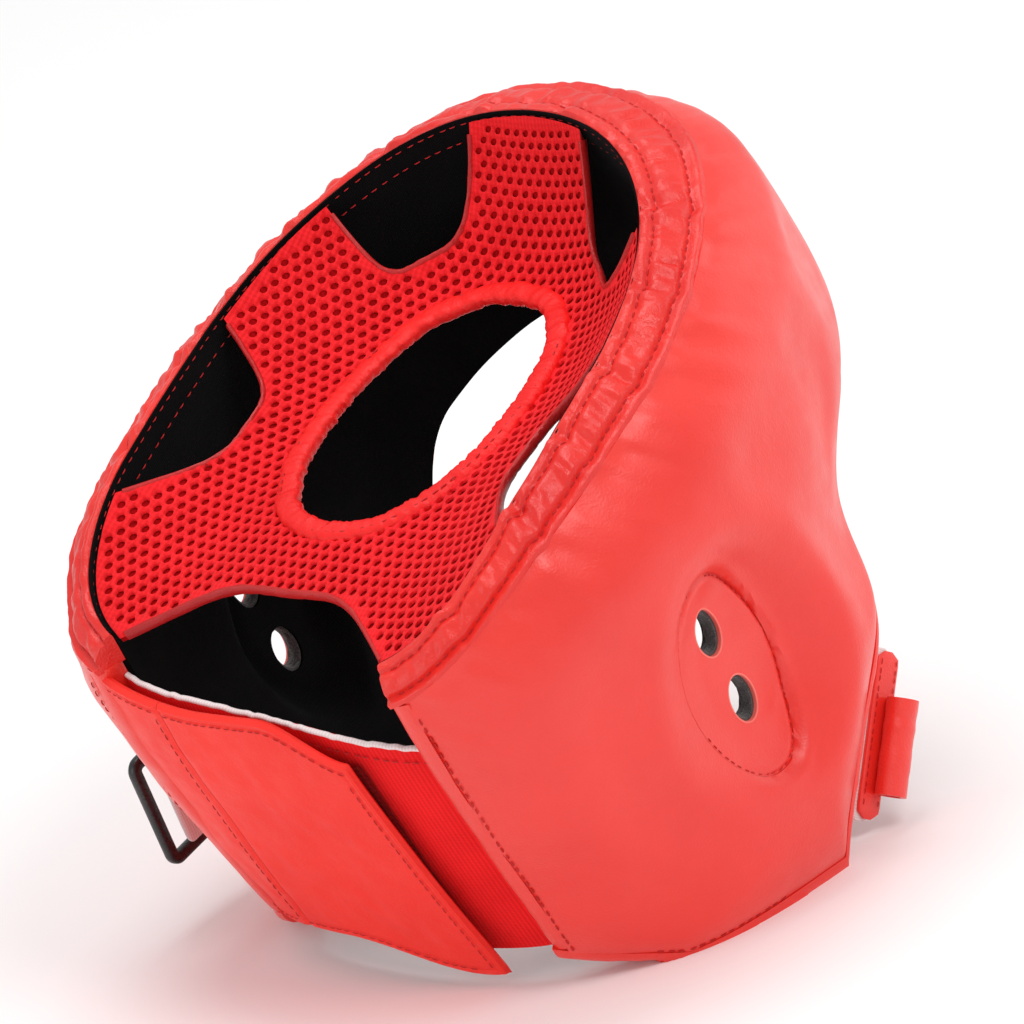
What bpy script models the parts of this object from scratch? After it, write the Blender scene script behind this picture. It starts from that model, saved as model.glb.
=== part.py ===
"""Open-face boxing headgear, standing on the lower edges of its two side pads.

Frame: +Z up, the face opening looks toward -Y, the wearer's right is -X.
The origin lies on the floor, under the middle of the headgear's box.
The surfaces are worked out in millimetres in the head's own frame (x right,
y forward, z up, zero at the ear holes), then tilted to stand on the jaw edges.
"""
import math

import bmesh
import bpy
from mathutils import Vector

for old in list(bpy.data.objects):
    bpy.data.objects.remove(old, do_unlink=True)

# ---- driving dimensions, millimetres and degrees ----
TILT = math.radians(18.0)      # head frame to standing frame, face turned up
FLOOR_DROP = 89.0              # floor below the ear axis, across the tilted frame
REAR_ANGLE = 31.0              # rear edge of each side pad, from the rear middle
STRIP_ANGLE = 2.8              # width of the folded rear edge
CENTRE_Y = -3.0                # middle of the head oval
HEM_DROP = 11.0                # height of the rim hem
ROLL_RISE = 6.0                # height of the rolled lower edge
COVER = 1.2                    # leather
LINING = 1.0
GAP = 0.3                      # clearance between touching pieces
CENTRE_SHIFT = (1.28, 5.96)     # puts the origin under the middle of the box
EDGE_T = 6.0                   # wall thickness where the pads close
REAR_T = 9.4                   # wall thickness at the rear edges
SIDE_T = 26.0                  # side pad thickness
FRONT_T = 32.0                 # forehead pad thickness
FOREHEAD_HALF = 40.0           # half angle of the forehead foam
EAR_Y = -21.5
EAR_Z = -5.0
EAR_RY = 20.5
EAR_RZ = 35.5
EAR_SINK = 10.0                 # the bowl round the ear panel, deepest at its front
BOWL_RY = 34.5
BOWL_RZ = 46.0
EAR_WALL = 7.0                  # what is left of the pad between ear and ear panel
NECK_SINK = 9.0                 # thinner wall at the temple, ahead of the ear
PORTS = ((-21.6, 11.7), (-21.4, -14.5))   # ear hole centres, y and z
PORT_RY = 5.4
PORT_RZ = 8.2
PORT_WALL = 2.0
HOLE_RX = 33.0                 # crown hole, inside its binding
HOLE_RY = 48.5
HOLE_AHEAD = 6.0               # its middle, forward of the head's middle
BINDING = 6.0
WEB_T = 3.2
WEB_DROP = 3.4                  # the web is sewn in this far below the rim
WEB_GAPS = ((0.0, 31.0, 0.42), (80.0, 22.0, 0.46), (149.5, 16.5, 0.42))

# ---- heights and widths, as sections of the head ----
RIM = ((0, 60), (31, 64), (58, 82), (80, 87.5), (102, 91.5), (133, 98.5), (150, 103.5),
       (166, 107), (180, 108))
LOWER = ((0, -54), (31, -54), (42, -65), (52, -78), (70, -96), (80, -97), (83, -88.5),
         (86, -82.5), (90, -76), (94, -69.5), (98, -63), (102, -57), (106, -51),
         (110, -44), (114, -35.5), (118.5, -22), (123.5, -6), (130, 7), (142, 16),
         (155, 24), (168, 30), (180, 32))
SIDE_W = ((-95, 73), (-50, 79), (0, 82.5), (50, 83), (85, 80.5), (105, 78.5))
FRONT_W = ((-95, 82), (-20, 92), (30, 98), (70, 98), (105, 94))
REAR_W = ((-95, 90), (-60, 92), (-20, 96), (30, 98), (70, 96.5), (105, 95))
REAR_POWER = ((-60, 3.0), (-20, 3.3), (40, 4.0))


def between(table, value):
    """Piecewise straight reading of a table of sections."""
    if value <= table[0][0]:
        return table[0][1]
    for (x0, y0), (x1, y1) in zip(table, table[1:]):
        if value <= x1:
            return y0 + (y1 - y0) * (value - x0) / (x1 - x0)
    return table[-1][1]


def rounded(table, value, reach):
    """The same reading with its corners rounded over a reach."""
    total = 0.0
    for step in (-1.0, -0.5, 0.0, 0.5, 1.0):
        total += between(table, value + step * reach)
    return total / 5.0


def ease(low, high, value):
    t = min(1.0, max(0.0, (value - low) / (high - low)))
    return t * t * (3.0 - 2.0 * t)


def inner_radius(psi, z):
    """Head oval: square at the nape, round at the forehead."""
    s = math.sin(math.radians(psi))
    c = math.cos(math.radians(psi))
    side = rounded(SIDE_W, z, 12.0)
    if c >= 0.0:
        depth = rounded(REAR_W, z, 12.0)
    else:
        depth = rounded(FRONT_W, z, 12.0)
    mix = ease(-0.25, 0.25, c)
    power = 2.2 + (rounded(REAR_POWER, z, 12.0) - 2.2) * mix
    total = (abs(s) / side) ** power + (abs(c) / depth) ** power
    return total ** (-1.0 / power)


def rim_z(psi):
    return rounded(RIM, psi, 6.0)


def lower_z(psi):
    """Lower edge: the cut of the pads, or the floor where they stand on it."""
    cut = rounded(LOWER, psi, 3.0)
    y = CENTRE_Y - 97.0 * math.cos(math.radians(psi))
    floor = (-FLOOR_DROP - y * math.sin(TILT)) / math.cos(TILT)
    return max(cut, floor - 2.6)


def wall_t(psi, z):
    """Pad thickness: full in the middle, thin where the wall closes."""
    full = SIDE_T + (FRONT_T - SIDE_T) * ease(120.0, 160.0, psi)
    reach = 42.0 - 14.0 * ease(120.0, 160.0, psi)
    top = 1.0 - (1.0 - min(1.0, max(0.0, (rim_z(psi) - z) / reach))) ** 2
    taper = 15.0 + 18.0 * ease(45.0, 78.0, psi) * (1.0 - ease(96.0, 114.0, psi))
    low = min(1.0, max(0.0, (z - lower_z(psi) + 2.0) / taper))
    low = math.sqrt(1.0 - (1.0 - low) ** 2)
    back = min(1.0, max(0.0, (psi - REAR_ANGLE) / 46.0))
    back = 1.0 - (1.0 - back) ** 2
    least = EDGE_T + (REAR_T - EDGE_T) * (1.0 - ease(31.0, 50.0, psi))
    t = least + (full - least) * top * low * back
    neck = math.exp(-((psi - 126.0) / 14.0) ** 2 - ((z + 10.0) / 26.0) ** 2)
    t = max(EDGE_T, t - NECK_SINK * neck)
    y = CENTRE_Y - 102.0 * math.cos(math.radians(psi))
    q = math.hypot((y - EAR_Y - 6.0) / BOWL_RY, (z - EAR_Z) / BOWL_RZ)
    return t - EAR_SINK * (1.0 - ease(0.45, 1.05, q))


def ear_pocket(psi, z):
    """Hollow for the ear, on the inner face behind the ear panel."""
    y = CENTRE_Y - 96.0 * math.cos(math.radians(psi))
    q = math.hypot((y - EAR_Y) / EAR_RY, (z - EAR_Z) / EAR_RZ)
    return (wall_t(psi, z) - EAR_WALL) * (1.0 - ease(0.62, 1.12, q))


def spot(side, psi, z, radius):
    """Head frame point at an angle from the rear, on one side."""
    s = math.sin(math.radians(psi))
    c = math.cos(math.radians(psi))
    return Vector((side * radius * s, CENTRE_Y - radius * c, z))


def stand(p):
    """Head frame millimetres to standing frame metres."""
    y = p[1] * math.cos(TILT) - p[2] * math.sin(TILT)
    z = p[1] * math.sin(TILT) + p[2] * math.cos(TILT)
    return Vector((-p[0] - CENTRE_SHIFT[0], -y - CENTRE_SHIFT[1], z + FLOOR_DROP)) * 0.001


def clamp_floor(v):
    return Vector((v.x, v.y, 0.0 if v.z < 0.0009 else v.z))


# ---- materials ----
def material(name, colour, rough):
    mat = bpy.data.materials.new(name)
    mat.use_nodes = True
    shader = mat.node_tree.nodes["Principled BSDF"]
    shader.inputs["Base Color"].default_value = (*colour, 1.0)
    shader.inputs["Roughness"].default_value = rough
    shader.inputs["Metallic"].default_value = 0.0
    return mat


RED_LEATHER = material("red_leather", (0.86, 0.06, 0.05), 0.42)
DARK_LEATHER = material("deep_red_leather", (0.62, 0.03, 0.03), 0.5)
BLACK_LINING = material("black_lining", (0.01, 0.01, 0.01), 0.8)
FOAM = material("black_foam", (0.02, 0.02, 0.02), 0.9)
RED_MESH = material("red_mesh", (0.72, 0.03, 0.04), 0.7)
ELASTIC = material("red_elastic", (0.55, 0.02, 0.02), 0.75)
WHITE_BACK = material("white_backing", (0.85, 0.8, 0.78), 0.7)
HOOK = material("hook_and_loop", (0.03, 0.03, 0.03), 0.9)
PLASTIC = material("black_plastic", (0.01, 0.01, 0.01), 0.35)


def make(name, verts, faces, mat, origin=(0.0, 0.0, 0.0), parent=None):
    """One closed mesh object, its origin set at a point in world metres."""
    origin = Vector(origin)
    mesh = bpy.data.meshes.new(name)
    mesh.from_pydata([Vector(v) - origin for v in verts], [], faces)
    bm = bmesh.new()
    bm.from_mesh(mesh)
    bmesh.ops.remove_doubles(bm, verts=bm.verts, dist=1e-6)
    bmesh.ops.recalc_face_normals(bm, faces=bm.faces)
    bm.to_mesh(mesh)
    bm.free()
    mesh.materials.append(mat)
    mesh.shade_smooth()
    mesh.set_sharp_from_angle(angle=math.radians(40.0))
    obj = bpy.data.objects.new(name, mesh)
    bpy.context.scene.collection.objects.link(obj)
    if parent is not None:
        obj.parent = parent
        obj.location = origin - parent.location
    else:
        obj.location = origin
    return obj


def slab(name, columns, rows, inside, outside, mat, ring=False, **more):
    """Closed slab between two surfaces read at columns and rows."""
    n = len(columns)
    m = len(rows)
    verts = [inside(c, r) for c in columns for r in rows]
    verts += [outside(c, r) for c in columns for r in rows]
    half = n * m
    faces = []
    steps = n if ring else n - 1
    for i in range(steps):
        k = (i + 1) % n
        for j in range(m - 1):
            a, b, c, d = i * m + j, k * m + j, k * m + j + 1, i * m + j + 1
            faces.append((a, b, c))
            faces.append((a, c, d))
            faces.append((half + c, half + b, half + a))
            faces.append((half + d, half + c, half + a))
        a, b = i * m, k * m
        faces.append((half + a, half + b, a))
        faces.append((half + b, b, a))
        a, b = i * m + m - 1, k * m + m - 1
        faces.append((a, b, half + b))
        faces.append((a, half + b, half + a))
    if not ring:
        for j in range(m - 1):
            faces.append((j, j + 1, half + j + 1))
            faces.append((j, half + j + 1, half + j))
            a = (n - 1) * m + j
            faces.append((half + a, half + a + 1, a))
            faces.append((half + a + 1, a + 1, a))
    return make(name, verts, faces, mat, **more)


def prism(name, centre, ry, rz, x0, x1, count, power=2.0):
    """Oval cutter that runs along x, in the head frame."""
    verts = []
    for x in (x0, x1):
        for k in range(count):
            a = 2.0 * math.pi * k / count
            c = math.copysign(abs(math.cos(a)) ** (2.0 / power), math.cos(a))
            s = math.copysign(abs(math.sin(a)) ** (2.0 / power), math.sin(a))
            verts.append(stand((x, centre[0] + ry * c, centre[1] + rz * s)))
    faces = [tuple(range(count)), tuple(range(count, 2 * count))[::-1]]
    for k in range(count):
        n = (k + 1) % count
        faces.append((k, k + count, n + count, n))
    obj = make(name, verts, faces, FOAM)
    obj.hide_render = True
    obj.display_type = "WIRE"
    return obj


def boolean(obj, cutter, operation):
    mod = obj.modifiers.new(operation.lower(), "BOOLEAN")
    mod.operation = operation
    mod.solver = "EXACT"
    mod.object = cutter


def angles(first, last, step):
    count = max(1, int(round((last - first) / step)))
    return [first + (last - first) * k / count for k in range(count + 1)]


# A column is a signed angle from the front middle: + right, - left.
def column_psi(a):
    return 180.0 - abs(a)


def column_side(a):
    return 1.0 if a >= 0.0 else -1.0


HALF = 180.0 - REAR_ANGLE
PAD_HALF = HALF - STRIP_ANGLE
SPLIT = 40.2                    # side foam starts this far from the front middle
SIDE_COLUMNS = angles(0.0, FOREHEAD_HALF, 10.0)[1:] + angles(SPLIT, 84.0, 6.3)
SIDE_COLUMNS += angles(84.0, 119.0, 5.8)[1:] + angles(119.0, PAD_HALF, 9.0)[1:]
EAR_COLUMNS = [a for a in SIDE_COLUMNS if 66.0 < a < 135.0]
PAD_COLUMNS = [-a for a in SIDE_COLUMNS[::-1]] + [0.0] + SIDE_COLUMNS
RING_COLUMNS = [-HALF] + PAD_COLUMNS + [HALF]
PAD_ROWS = (0.0, 0.06, 0.16, 0.3, 0.42, 0.54, 0.66, 0.8, 0.92, 1.0)


def pad_z(psi, v):
    low = lower_z(psi) + ROLL_RISE + 1.6 * GAP
    top = rim_z(psi) - HEM_DROP - GAP
    return low + v * (top - low)


def wall(depth_in=None, depth_out=None, height=pad_z):
    """Surface at a depth from the inner face, or from the outer face."""
    def point(a, v):
        psi = column_psi(a)
        z = height(psi, v)
        r = inner_radius(psi, z)
        if depth_in is not None:
            r += depth_in + ear_pocket(psi, z)
        else:
            r += wall_t(psi, z) - depth_out
        return clamp_floor(stand(spot(column_side(a), psi, z, r)))
    return point


# ---- the padded shell ----
cover = slab("outer_cover", PAD_COLUMNS, PAD_ROWS,
             wall(depth_out=COVER), wall(depth_out=0.0), RED_LEATHER)
lining = slab("inner_lining", PAD_COLUMNS, PAD_ROWS,
              wall(depth_in=0.0), wall(depth_in=LINING), BLACK_LINING)

FOAM_IN = LINING + GAP
FOAM_OUT = COVER + GAP
front_cols = [a for a in PAD_COLUMNS if abs(a) < FOREHEAD_HALF - 1.0]
front_cols = [-FOREHEAD_HALF] + front_cols + [FOREHEAD_HALF]
slab("forehead_foam", front_cols, PAD_ROWS, wall(depth_in=FOAM_IN),
     wall(depth_out=FOAM_OUT), FOAM)
foams = {}
for word, sign in (("right", 1.0), ("left", -1.0)):
    cols = [sign * a for a in SIDE_COLUMNS if a >= SPLIT]
    if sign < 0.0:
        cols = cols[::-1]
    foams[sign] = slab("side_foam_" + word, cols, PAD_ROWS, wall(depth_in=FOAM_IN),
                       wall(depth_out=FOAM_OUT), FOAM)


def hem_z(psi, v):
    return rim_z(psi) - HEM_DROP * (1.0 - v)


def roll_z(psi, v):
    return lower_z(psi) + ROLL_RISE * v


slab("rim_hem", RING_COLUMNS, (0.0, 0.5, 1.0), wall(depth_in=0.0, height=hem_z),
     wall(depth_out=0.0, height=hem_z), RED_LEATHER)
slab("lower_edge_roll", RING_COLUMNS, (0.0, 0.5, 1.0), wall(depth_in=0.0, height=roll_z),
     wall(depth_out=0.0, height=roll_z), RED_LEATHER)
for word, sign in (("right", 1.0), ("left", -1.0)):
    cols = [sign * (PAD_HALF + 0.17), sign * HALF]
    if sign < 0.0:
        cols = cols[::-1]
    slab("rear_edge_" + word, cols, PAD_ROWS, wall(depth_in=0.0),
         wall(depth_out=0.0), RED_LEATHER)

# ---- ear panels, each with two lined holes ----
for word, sign in (("right", 1.0), ("left", -1.0)):
    x0, x1 = sorted((sign * 60.0, sign * 140.0))
    oval = prism("cut_ear_" + word, (EAR_Y, EAR_Z), EAR_RY + GAP, EAR_RZ + GAP, x0, x1, 28)
    boolean(cover, oval, "DIFFERENCE")
    panel_oval = prism("cut_panel_" + word, (EAR_Y, EAR_Z), EAR_RY, EAR_RZ, x0, x1, 28)
    near = [sign * a for a in EAR_COLUMNS]
    if sign < 0.0:
        near = near[::-1]
    panel = slab("ear_panel_" + word, near, PAD_ROWS, wall(depth_out=COVER),
                 wall(depth_out=0.0), RED_LEATHER)
    boolean(panel, panel_oval, "INTERSECT")
    for label, port in zip(("upper", "lower"), PORTS):
        hole = prism("cut_port_" + label + "_" + word, port, PORT_RY, PORT_RZ, x0, x1, 16)
        wide = prism("cut_wall_" + label + "_" + word, port, PORT_RY + PORT_WALL + GAP,
                     PORT_RZ + PORT_WALL + GAP, x0, x1, 16)
        rim = prism("cut_liner_" + label + "_" + word, port, PORT_RY + PORT_WALL,
                    PORT_RZ + PORT_WALL, x0, x1, 16)
        boolean(panel, hole, "DIFFERENCE")
        boolean(lining, hole, "DIFFERENCE")
        boolean(foams[sign], wide, "DIFFERENCE")

        liner = slab("ear_hole_liner_" + label + "_" + word, near, PAD_ROWS,
                     wall(depth_in=FOAM_IN), wall(depth_out=FOAM_OUT), HOOK)
        boolean(liner, rim, "INTERSECT")
        boolean(liner, hole, "DIFFERENCE")


# ---- crown web: five arms round one long hole ----
def web_reach(psi):
    """How far out the web runs at an angle: 1 at the rim, less in a gap."""
    for middle, half, least in WEB_GAPS:
        t = abs(psi - middle) / half
        if t < 1.0:
            return least + (1.0 - least) * t ** 4
    return 1.0


def hole_radius(psi, grow):
    s = math.sin(math.radians(psi)) / (HOLE_RX + grow)
    c = math.cos(math.radians(psi)) / (HOLE_RY + grow)
    ahead = HOLE_AHEAD / (HOLE_RY + grow)
    near, far = 5.0, 90.0
    for _ in range(30):
        r = (near + far) / 2.0
        if abs(r * s) ** 2.3 + abs(r * c + ahead) ** 2.3 > 1.0:
            far = r
        else:
            near = r
    return r


def web_point(a, v, lift, gap=1.6):
    """v is 0 at the hole's binding and 1 at the web's outer edge."""
    psi = column_psi(a)
    r0 = hole_radius(psi, BINDING + GAP)
    top = rim_z(psi) - WEB_DROP
    r1 = inner_radius(psi, top) - gap
    share = v * web_reach(psi)
    r = r0 + (r1 - r0) * share
    low = 67.0
    z = low + (top - low) * share ** 1.6 + lift
    return stand(spot(column_side(a), psi, z, r))


web_angles = [0.0]
for middle, half, least in WEB_GAPS:
    for t in (-1.0, -0.92, -0.8, -0.6, -0.35, 0.0, 0.35, 0.6, 0.8, 0.92, 1.0):
        psi = middle + t * half
        if 0.0 < psi < 180.0:
            web_angles.append(psi)
web_angles += [44.0, 110.0, 118.0, 125.0, 173.0, 180.0]
web_angles = sorted(set(web_angles))
web_cols = [180.0 - p for p in web_angles if p > 0.0]
web_cols = sorted(web_cols)
web_cols = [-a for a in web_cols[:0:-1]] + web_cols + [180.0]


slab("crown_web", web_cols, (0.0, 0.35, 0.7, 1.0),
     lambda a, v: web_point(a, v, -WEB_T / 2.0),
     lambda a, v: web_point(a, v, WEB_T / 2.0), RED_MESH, ring=True)


def tube_ring(name, points, across, up, width, height, mat, closed=True, **more):
    """Band of oblong section along points, given its two cross directions."""
    verts = []
    count = len(points)
    for p, side, top in zip(points, across, up):
        for s, t in ((-1, -1), (1, -1), (1, 1), (-1, 1)):
            verts.append(p + side * (s * width / 2.0) + top * (t * height / 2.0))
    faces = []
    for i in range(count if closed else count - 1):
        k = (i + 1) % count
        for j in range(4):
            n = (j + 1) % 4
            faces.append((4 * i + j, 4 * i + n, 4 * k + n, 4 * k + j))
    if not closed:
        faces.append((0, 1, 2, 3))
        a = 4 * (count - 1)
        faces.append((a + 3, a + 2, a + 1, a))
    return make(name, [stand(v) for v in verts], faces, mat, **more)


ring_points = []
ring_across = []
ring_up = []
for k in range(40):
    psi = 360.0 * k / 40.0
    c = math.cos(math.radians(psi))
    s = math.sin(math.radians(psi))
    fold = psi if psi <= 180.0 else 360.0 - psi
    r = hole_radius(fold, BINDING / 2.0)
    ring_points.append(Vector((r * s, CENTRE_Y - r * c, 67.0)))
    ring_across.append(Vector((s, -c, 0.0)))
    ring_up.append(Vector((0.0, 0.0, 1.0)))
tube_ring("crown_hole_binding", ring_points, ring_across, ring_up, BINDING, 4.4, DARK_LEATHER)

# thin binding along the edge of each gap between the web's arms
gap_names = (("rear", 0.0, 31.0), ("right", 80.0, 22.0), ("left", -80.0, 22.0),
             ("front_right", 149.5, 16.5), ("front_left", -149.5, 16.5))
for word, middle, half in gap_names:
    points = []
    across = []
    up = []
    samples = (-0.97, -0.92, -0.8, -0.6, -0.35, 0.0, 0.35, 0.6, 0.8, 0.92, 0.97)
    flat = []
    for t in samples:
        turn = middle + t * half
        side = 1.0 if turn >= 0.0 else -1.0
        psi = abs(turn)
        r0 = hole_radius(psi, BINDING + GAP)
        top = rim_z(psi) - WEB_DROP
        r1 = inner_radius(psi, top) - 1.6
        share = web_reach(psi)
        z = 67.0 + (top - 67.0) * share ** 1.6
        flat.append(spot(side, psi, z, r0 + (r1 - r0) * share))
    for k, p in enumerate(flat):
        along = flat[min(k + 1, len(flat) - 1)] - flat[max(k - 1, 0)]
        along.normalize()
        out = along.cross(Vector((0.0, 0.0, 1.0)))
        out.normalize()
        away = Vector((p.x, p.y - CENTRE_Y, 0.0))
        if out.dot(away) < 0.0 and abs(samples[k]) < 0.5:
            out = -out
        if abs(samples[k]) >= 0.5:
            inward = spot(1.0 if middle >= 0.0 else -1.0, abs(middle), p.z,
                          away.length) - p
            if out.dot(inward) < 0.0:
                out = -out
        points.append(p + out * (1.5 + GAP))
        across.append(out)
        up.append(out.cross(along).normalized())
    tube_ring("web_edge_" + word, points, across, up, 2.4, 3.6, DARK_LEATHER, closed=False)


# ---- rear closure: elastic, loop patch, and the leather flap over it ----
def back_point(turn, z, depth):
    side = 1.0 if turn >= 0.0 else -1.0
    psi = abs(turn)
    r = inner_radius(psi, z) + depth
    return spot(side, psi, z, r)


def back_slab(name, turns, low, high, d0, d1, mat, rows=5, **more):
    levels = [k / (rows - 1.0) for k in range(rows)]

    def at(depth):
        def point(turn, v):
            z = low(turn) + (high(turn) - low(turn)) * v
            return stand(back_point(turn, z, depth))
        return point
    return slab(name, turns, levels, at(d0), at(d1), mat, **more)


END = REAR_ANGLE - 0.2


def elastic_top(turn):
    t = (turn + END) / (2.0 * END)
    return 50.0 - 17.0 * t + 3.0 * math.sin(math.pi * t)


def elastic_low(turn):
    return -53.0 + 3.0 * (1.0 - (turn / END) ** 2)


back_slab("elastic_panel", angles(-END, END, 5.2), elastic_low, elastic_top,
          0.9, 3.0, ELASTIC)
back_slab("loop_patch", angles(-16.0, 18.0, 5.6), lambda t: -38.0, lambda t: 30.0,
          3.3, 4.3, HOOK)

SEAM = -18.6


def flap_top(turn):
    drop = 15.0 * ease(2.0, 17.5, turn) ** 1.2
    return 53.0 - 4.0 * ease(-31.0, -10.0, turn) - drop


def flap_low(turn):
    return -47.0 + 3.0 * ease(-31.0, -14.0, turn) - 13.0 * ease(-10.0, 20.0, turn)


def free_edge(v):
    return 21.3 - 3.6 * v


back_slab("flap_root", angles(-END, SEAM - 0.17, 4.0), flap_low, flap_top,
          5.9, 9.2, RED_LEATHER)

hinge_low = back_point(SEAM, flap_low(SEAM), 12.4)
hinge_high = back_point(SEAM, flap_top(SEAM), 12.4)
flap_frame = bpy.data.objects.new("flap_hinge", None)
flap_frame.location = stand((hinge_low + hinge_high) / 2.0)
bpy.context.scene.collection.objects.link(flap_frame)


def flap_surface(depth):
    def point(s, v):
        edge = free_edge(v)
        turn = SEAM + (edge - SEAM) * s
        low = flap_low(turn)
        z = low + (flap_top(turn) - low) * v
        return stand(back_point(turn, z, depth))
    return point


shares = [k / 8.0 for k in range(9)]
levels = [k / 6.0 for k in range(7)]
slab("closure_flap", shares, levels, flap_surface(5.9), flap_surface(9.2), RED_LEATHER,
     origin=flap_frame.location, parent=flap_frame)
back_slab("hook_patch", angles(-13.0, 16.0, 5.8), lambda t: -34.0, lambda t: 27.0,
          4.6, 5.6, HOOK, origin=flap_frame.location, parent=flap_frame)


# ---- right chin tab: plate, white backing and a rolled keeper loop ----
def block(name, centre, e1, e2, e3, sizes, mat, bevel=0.0, **more):
    verts = []
    for i in (-0.5, 0.5):
        for j in (-0.5, 0.5):
            for k in (-0.5, 0.5):
                verts.append(stand(centre + e1 * (i * sizes[0]) + e2 * (j * sizes[1])
                                   + e3 * (k * sizes[2])))
    faces = [(0, 1, 3, 2), (4, 6, 7, 5), (0, 4, 5, 1), (2, 3, 7, 6), (0, 2, 6, 4), (1, 5, 7, 3)]
    return make(name, verts, faces, mat, **more)


TAB_TOP = Vector((82.5, 39.2, -51.4))
TAB_END = Vector((84.5, 0.2, -81.4))
along = (TAB_END - TAB_TOP).normalized()
ahead = Vector((0.10, 0.63, -0.77))
ahead = (ahead - along * ahead.dot(along)).normalized()
outward = along.cross(ahead)
if outward.x < 0.0:
    outward = -outward
tab_mid = (TAB_TOP + TAB_END) / 2.0 + ahead * 7.5 + along * 1.8
tab_hinge = tab_mid - ahead * 4.3 + outward * 1.8
tab_frame = bpy.data.objects.new("chin_tab_hinge", None)
tab_frame.location = stand(tab_hinge)
bpy.context.scene.collection.objects.link(tab_frame)
block("chin_tab_leather", tab_mid + outward * 1.0, along, ahead, outward,
      (50.0, 8.6, 1.6), RED_LEATHER, origin=tab_frame.location, parent=tab_frame)
block("chin_tab_backing", tab_mid - ahead * 1.0 - outward * 0.7, along, ahead, outward,
      (51.4, 8.8, 1.2), WHITE_BACK, origin=tab_frame.location, parent=tab_frame)


def sleeve(name, centre, e1, e2, e3, length, ru, rv, wall_mm, mat, count=16, **more):
    """Oval tube along e1, its section spread along e2 and e3."""
    verts = []
    for end in (-0.5, 0.5):
        for ring in (0.0, wall_mm):
            for k in range(count):
                a = 2.0 * math.pi * k / count
                p = centre + e1 * (end * length)
                p = p + e2 * ((ru - ring) * math.cos(a)) + e3 * ((rv - ring) * math.sin(a))
                verts.append(stand(p))
    faces = []
    for k in range(count):
        n = (k + 1) % count
        o0, o1 = k, n
        i0, i1 = count + k, count + n
        p0, p1 = 2 * count + k, 2 * count + n
        q0, q1 = 3 * count + k, 3 * count + n
        faces.append((o0, o1, i1, i0))
        faces.append((p0, q0, q1, p1))
        faces.append((o0, p0, p1, o1))
        faces.append((i0, i1, q1, q0))
    return make(name, verts, faces, mat, **more)


loop_mid = tab_mid + ahead * 3.5 + along * 3.0 + outward * 6.3
sleeve("chin_tab_loop", loop_mid, along, ahead, outward, 29.0, 5.2, 4.2, 1.4,
       RED_LEATHER, origin=tab_frame.location, parent=tab_frame)

# ---- left ring: strap sewn below the ear, ring at its rear end ----
ANCHOR = Vector((-108.5, -33.0, -34.0))
REAR_END = Vector((-106.5, -64.0, -29.0))
pull = (REAR_END - ANCHOR).normalized()
rise = Vector((0.0, 0.0, 1.0))
rise = (rise - pull * rise.dot(pull)).normalized()
face = pull.cross(rise)
if face.x > 0.0:
    face = -face
strap_len = (REAR_END - ANCHOR).length
strap_frame = bpy.data.objects.new("ring_strap_hinge", None)
strap_frame.location = stand(ANCHOR)
bpy.context.scene.collection.objects.link(strap_frame)

strap_mid = ANCHOR + pull * ((strap_len - 2.6) / 2.0)
strap = block("ring_strap", strap_mid, pull, rise, face, (strap_len - 4.6, 28.0, 2.6),
              RED_LEATHER, origin=strap_frame.location, parent=strap_frame)
fold = sleeve("cut_strap_fold", REAR_END, rise, pull, face, 28.0, 4.7, 4.7, 1.6, RED_LEATHER,
              count=14)
fold.hide_render = True
fold.display_type = "WIRE"
boolean(strap, fold, "UNION")

RING_LONG = 38.0
RING_WIDE = 24.0
RING_BAR = 4.0
RING_T = 3.2
ring_frame = bpy.data.objects.new("ring_hinge", None)
ring_frame.location = stand(REAR_END)
bpy.context.scene.collection.objects.link(ring_frame)


def ring_outline(long_mm, wide_mm, cut, shift):
    """Oblong with cut corners, in the ring's own plane."""
    a = long_mm / 2.0
    b = wide_mm / 2.0
    pairs = ((-a + cut, -b), (a - cut, -b), (a, -b + cut), (a, b - cut),
             (a - cut, b), (-a + cut, b), (-a, b - cut), (-a, -b + cut))
    return [(r, p + shift) for r, p in pairs]


shift = RING_WIDE / 2.0 - RING_BAR / 2.0
outer = ring_outline(RING_LONG, RING_WIDE, 2.5, shift)
inner = ring_outline(RING_LONG - 2.0 * RING_BAR, RING_WIDE - 2.0 * RING_BAR, 0.8, shift)
verts = []
for level in (-RING_T / 2.0, RING_T / 2.0):
    for loop in (outer, inner):
        for r, p in loop:
            verts.append(stand(REAR_END + rise * r + pull * p + face * level))
faces = []
for k in range(8):
    n = (k + 1) % 8
    faces.append((k, n, 8 + n, 8 + k))
    faces.append((16 + k, 24 + k, 24 + n, 16 + n))
    faces.append((k, 16 + k, 16 + n, n))
    faces.append((8 + k, 8 + n, 24 + n, 24 + k))
make("strap_ring", verts, faces, PLASTIC, origin=ring_frame.location, parent=ring_frame)

tongue_mid = REAR_END + pull * 9.0 - face * 5.6
block("ring_strap_tongue", tongue_mid, pull, rise, face, (15.0, 27.0, 1.6), WHITE_BACK,
      origin=strap_frame.location, parent=strap_frame)
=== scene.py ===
"""Looks of the padded boxing headgear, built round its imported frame.

Lengths in the shape functions are millimetres in the head frame: x to the wearer's right,
y forward, z up, zero near the ear holes. stand() turns them into the frame's metres. Angles
called psi or turn run from the rear middle, and angles called a from the front middle, in degrees.
"""
import math

import bmesh
import bpy
import numpy as np
from mathutils import Matrix, Vector
from mathutils.geometry import delaunay_2d_cdt


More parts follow.
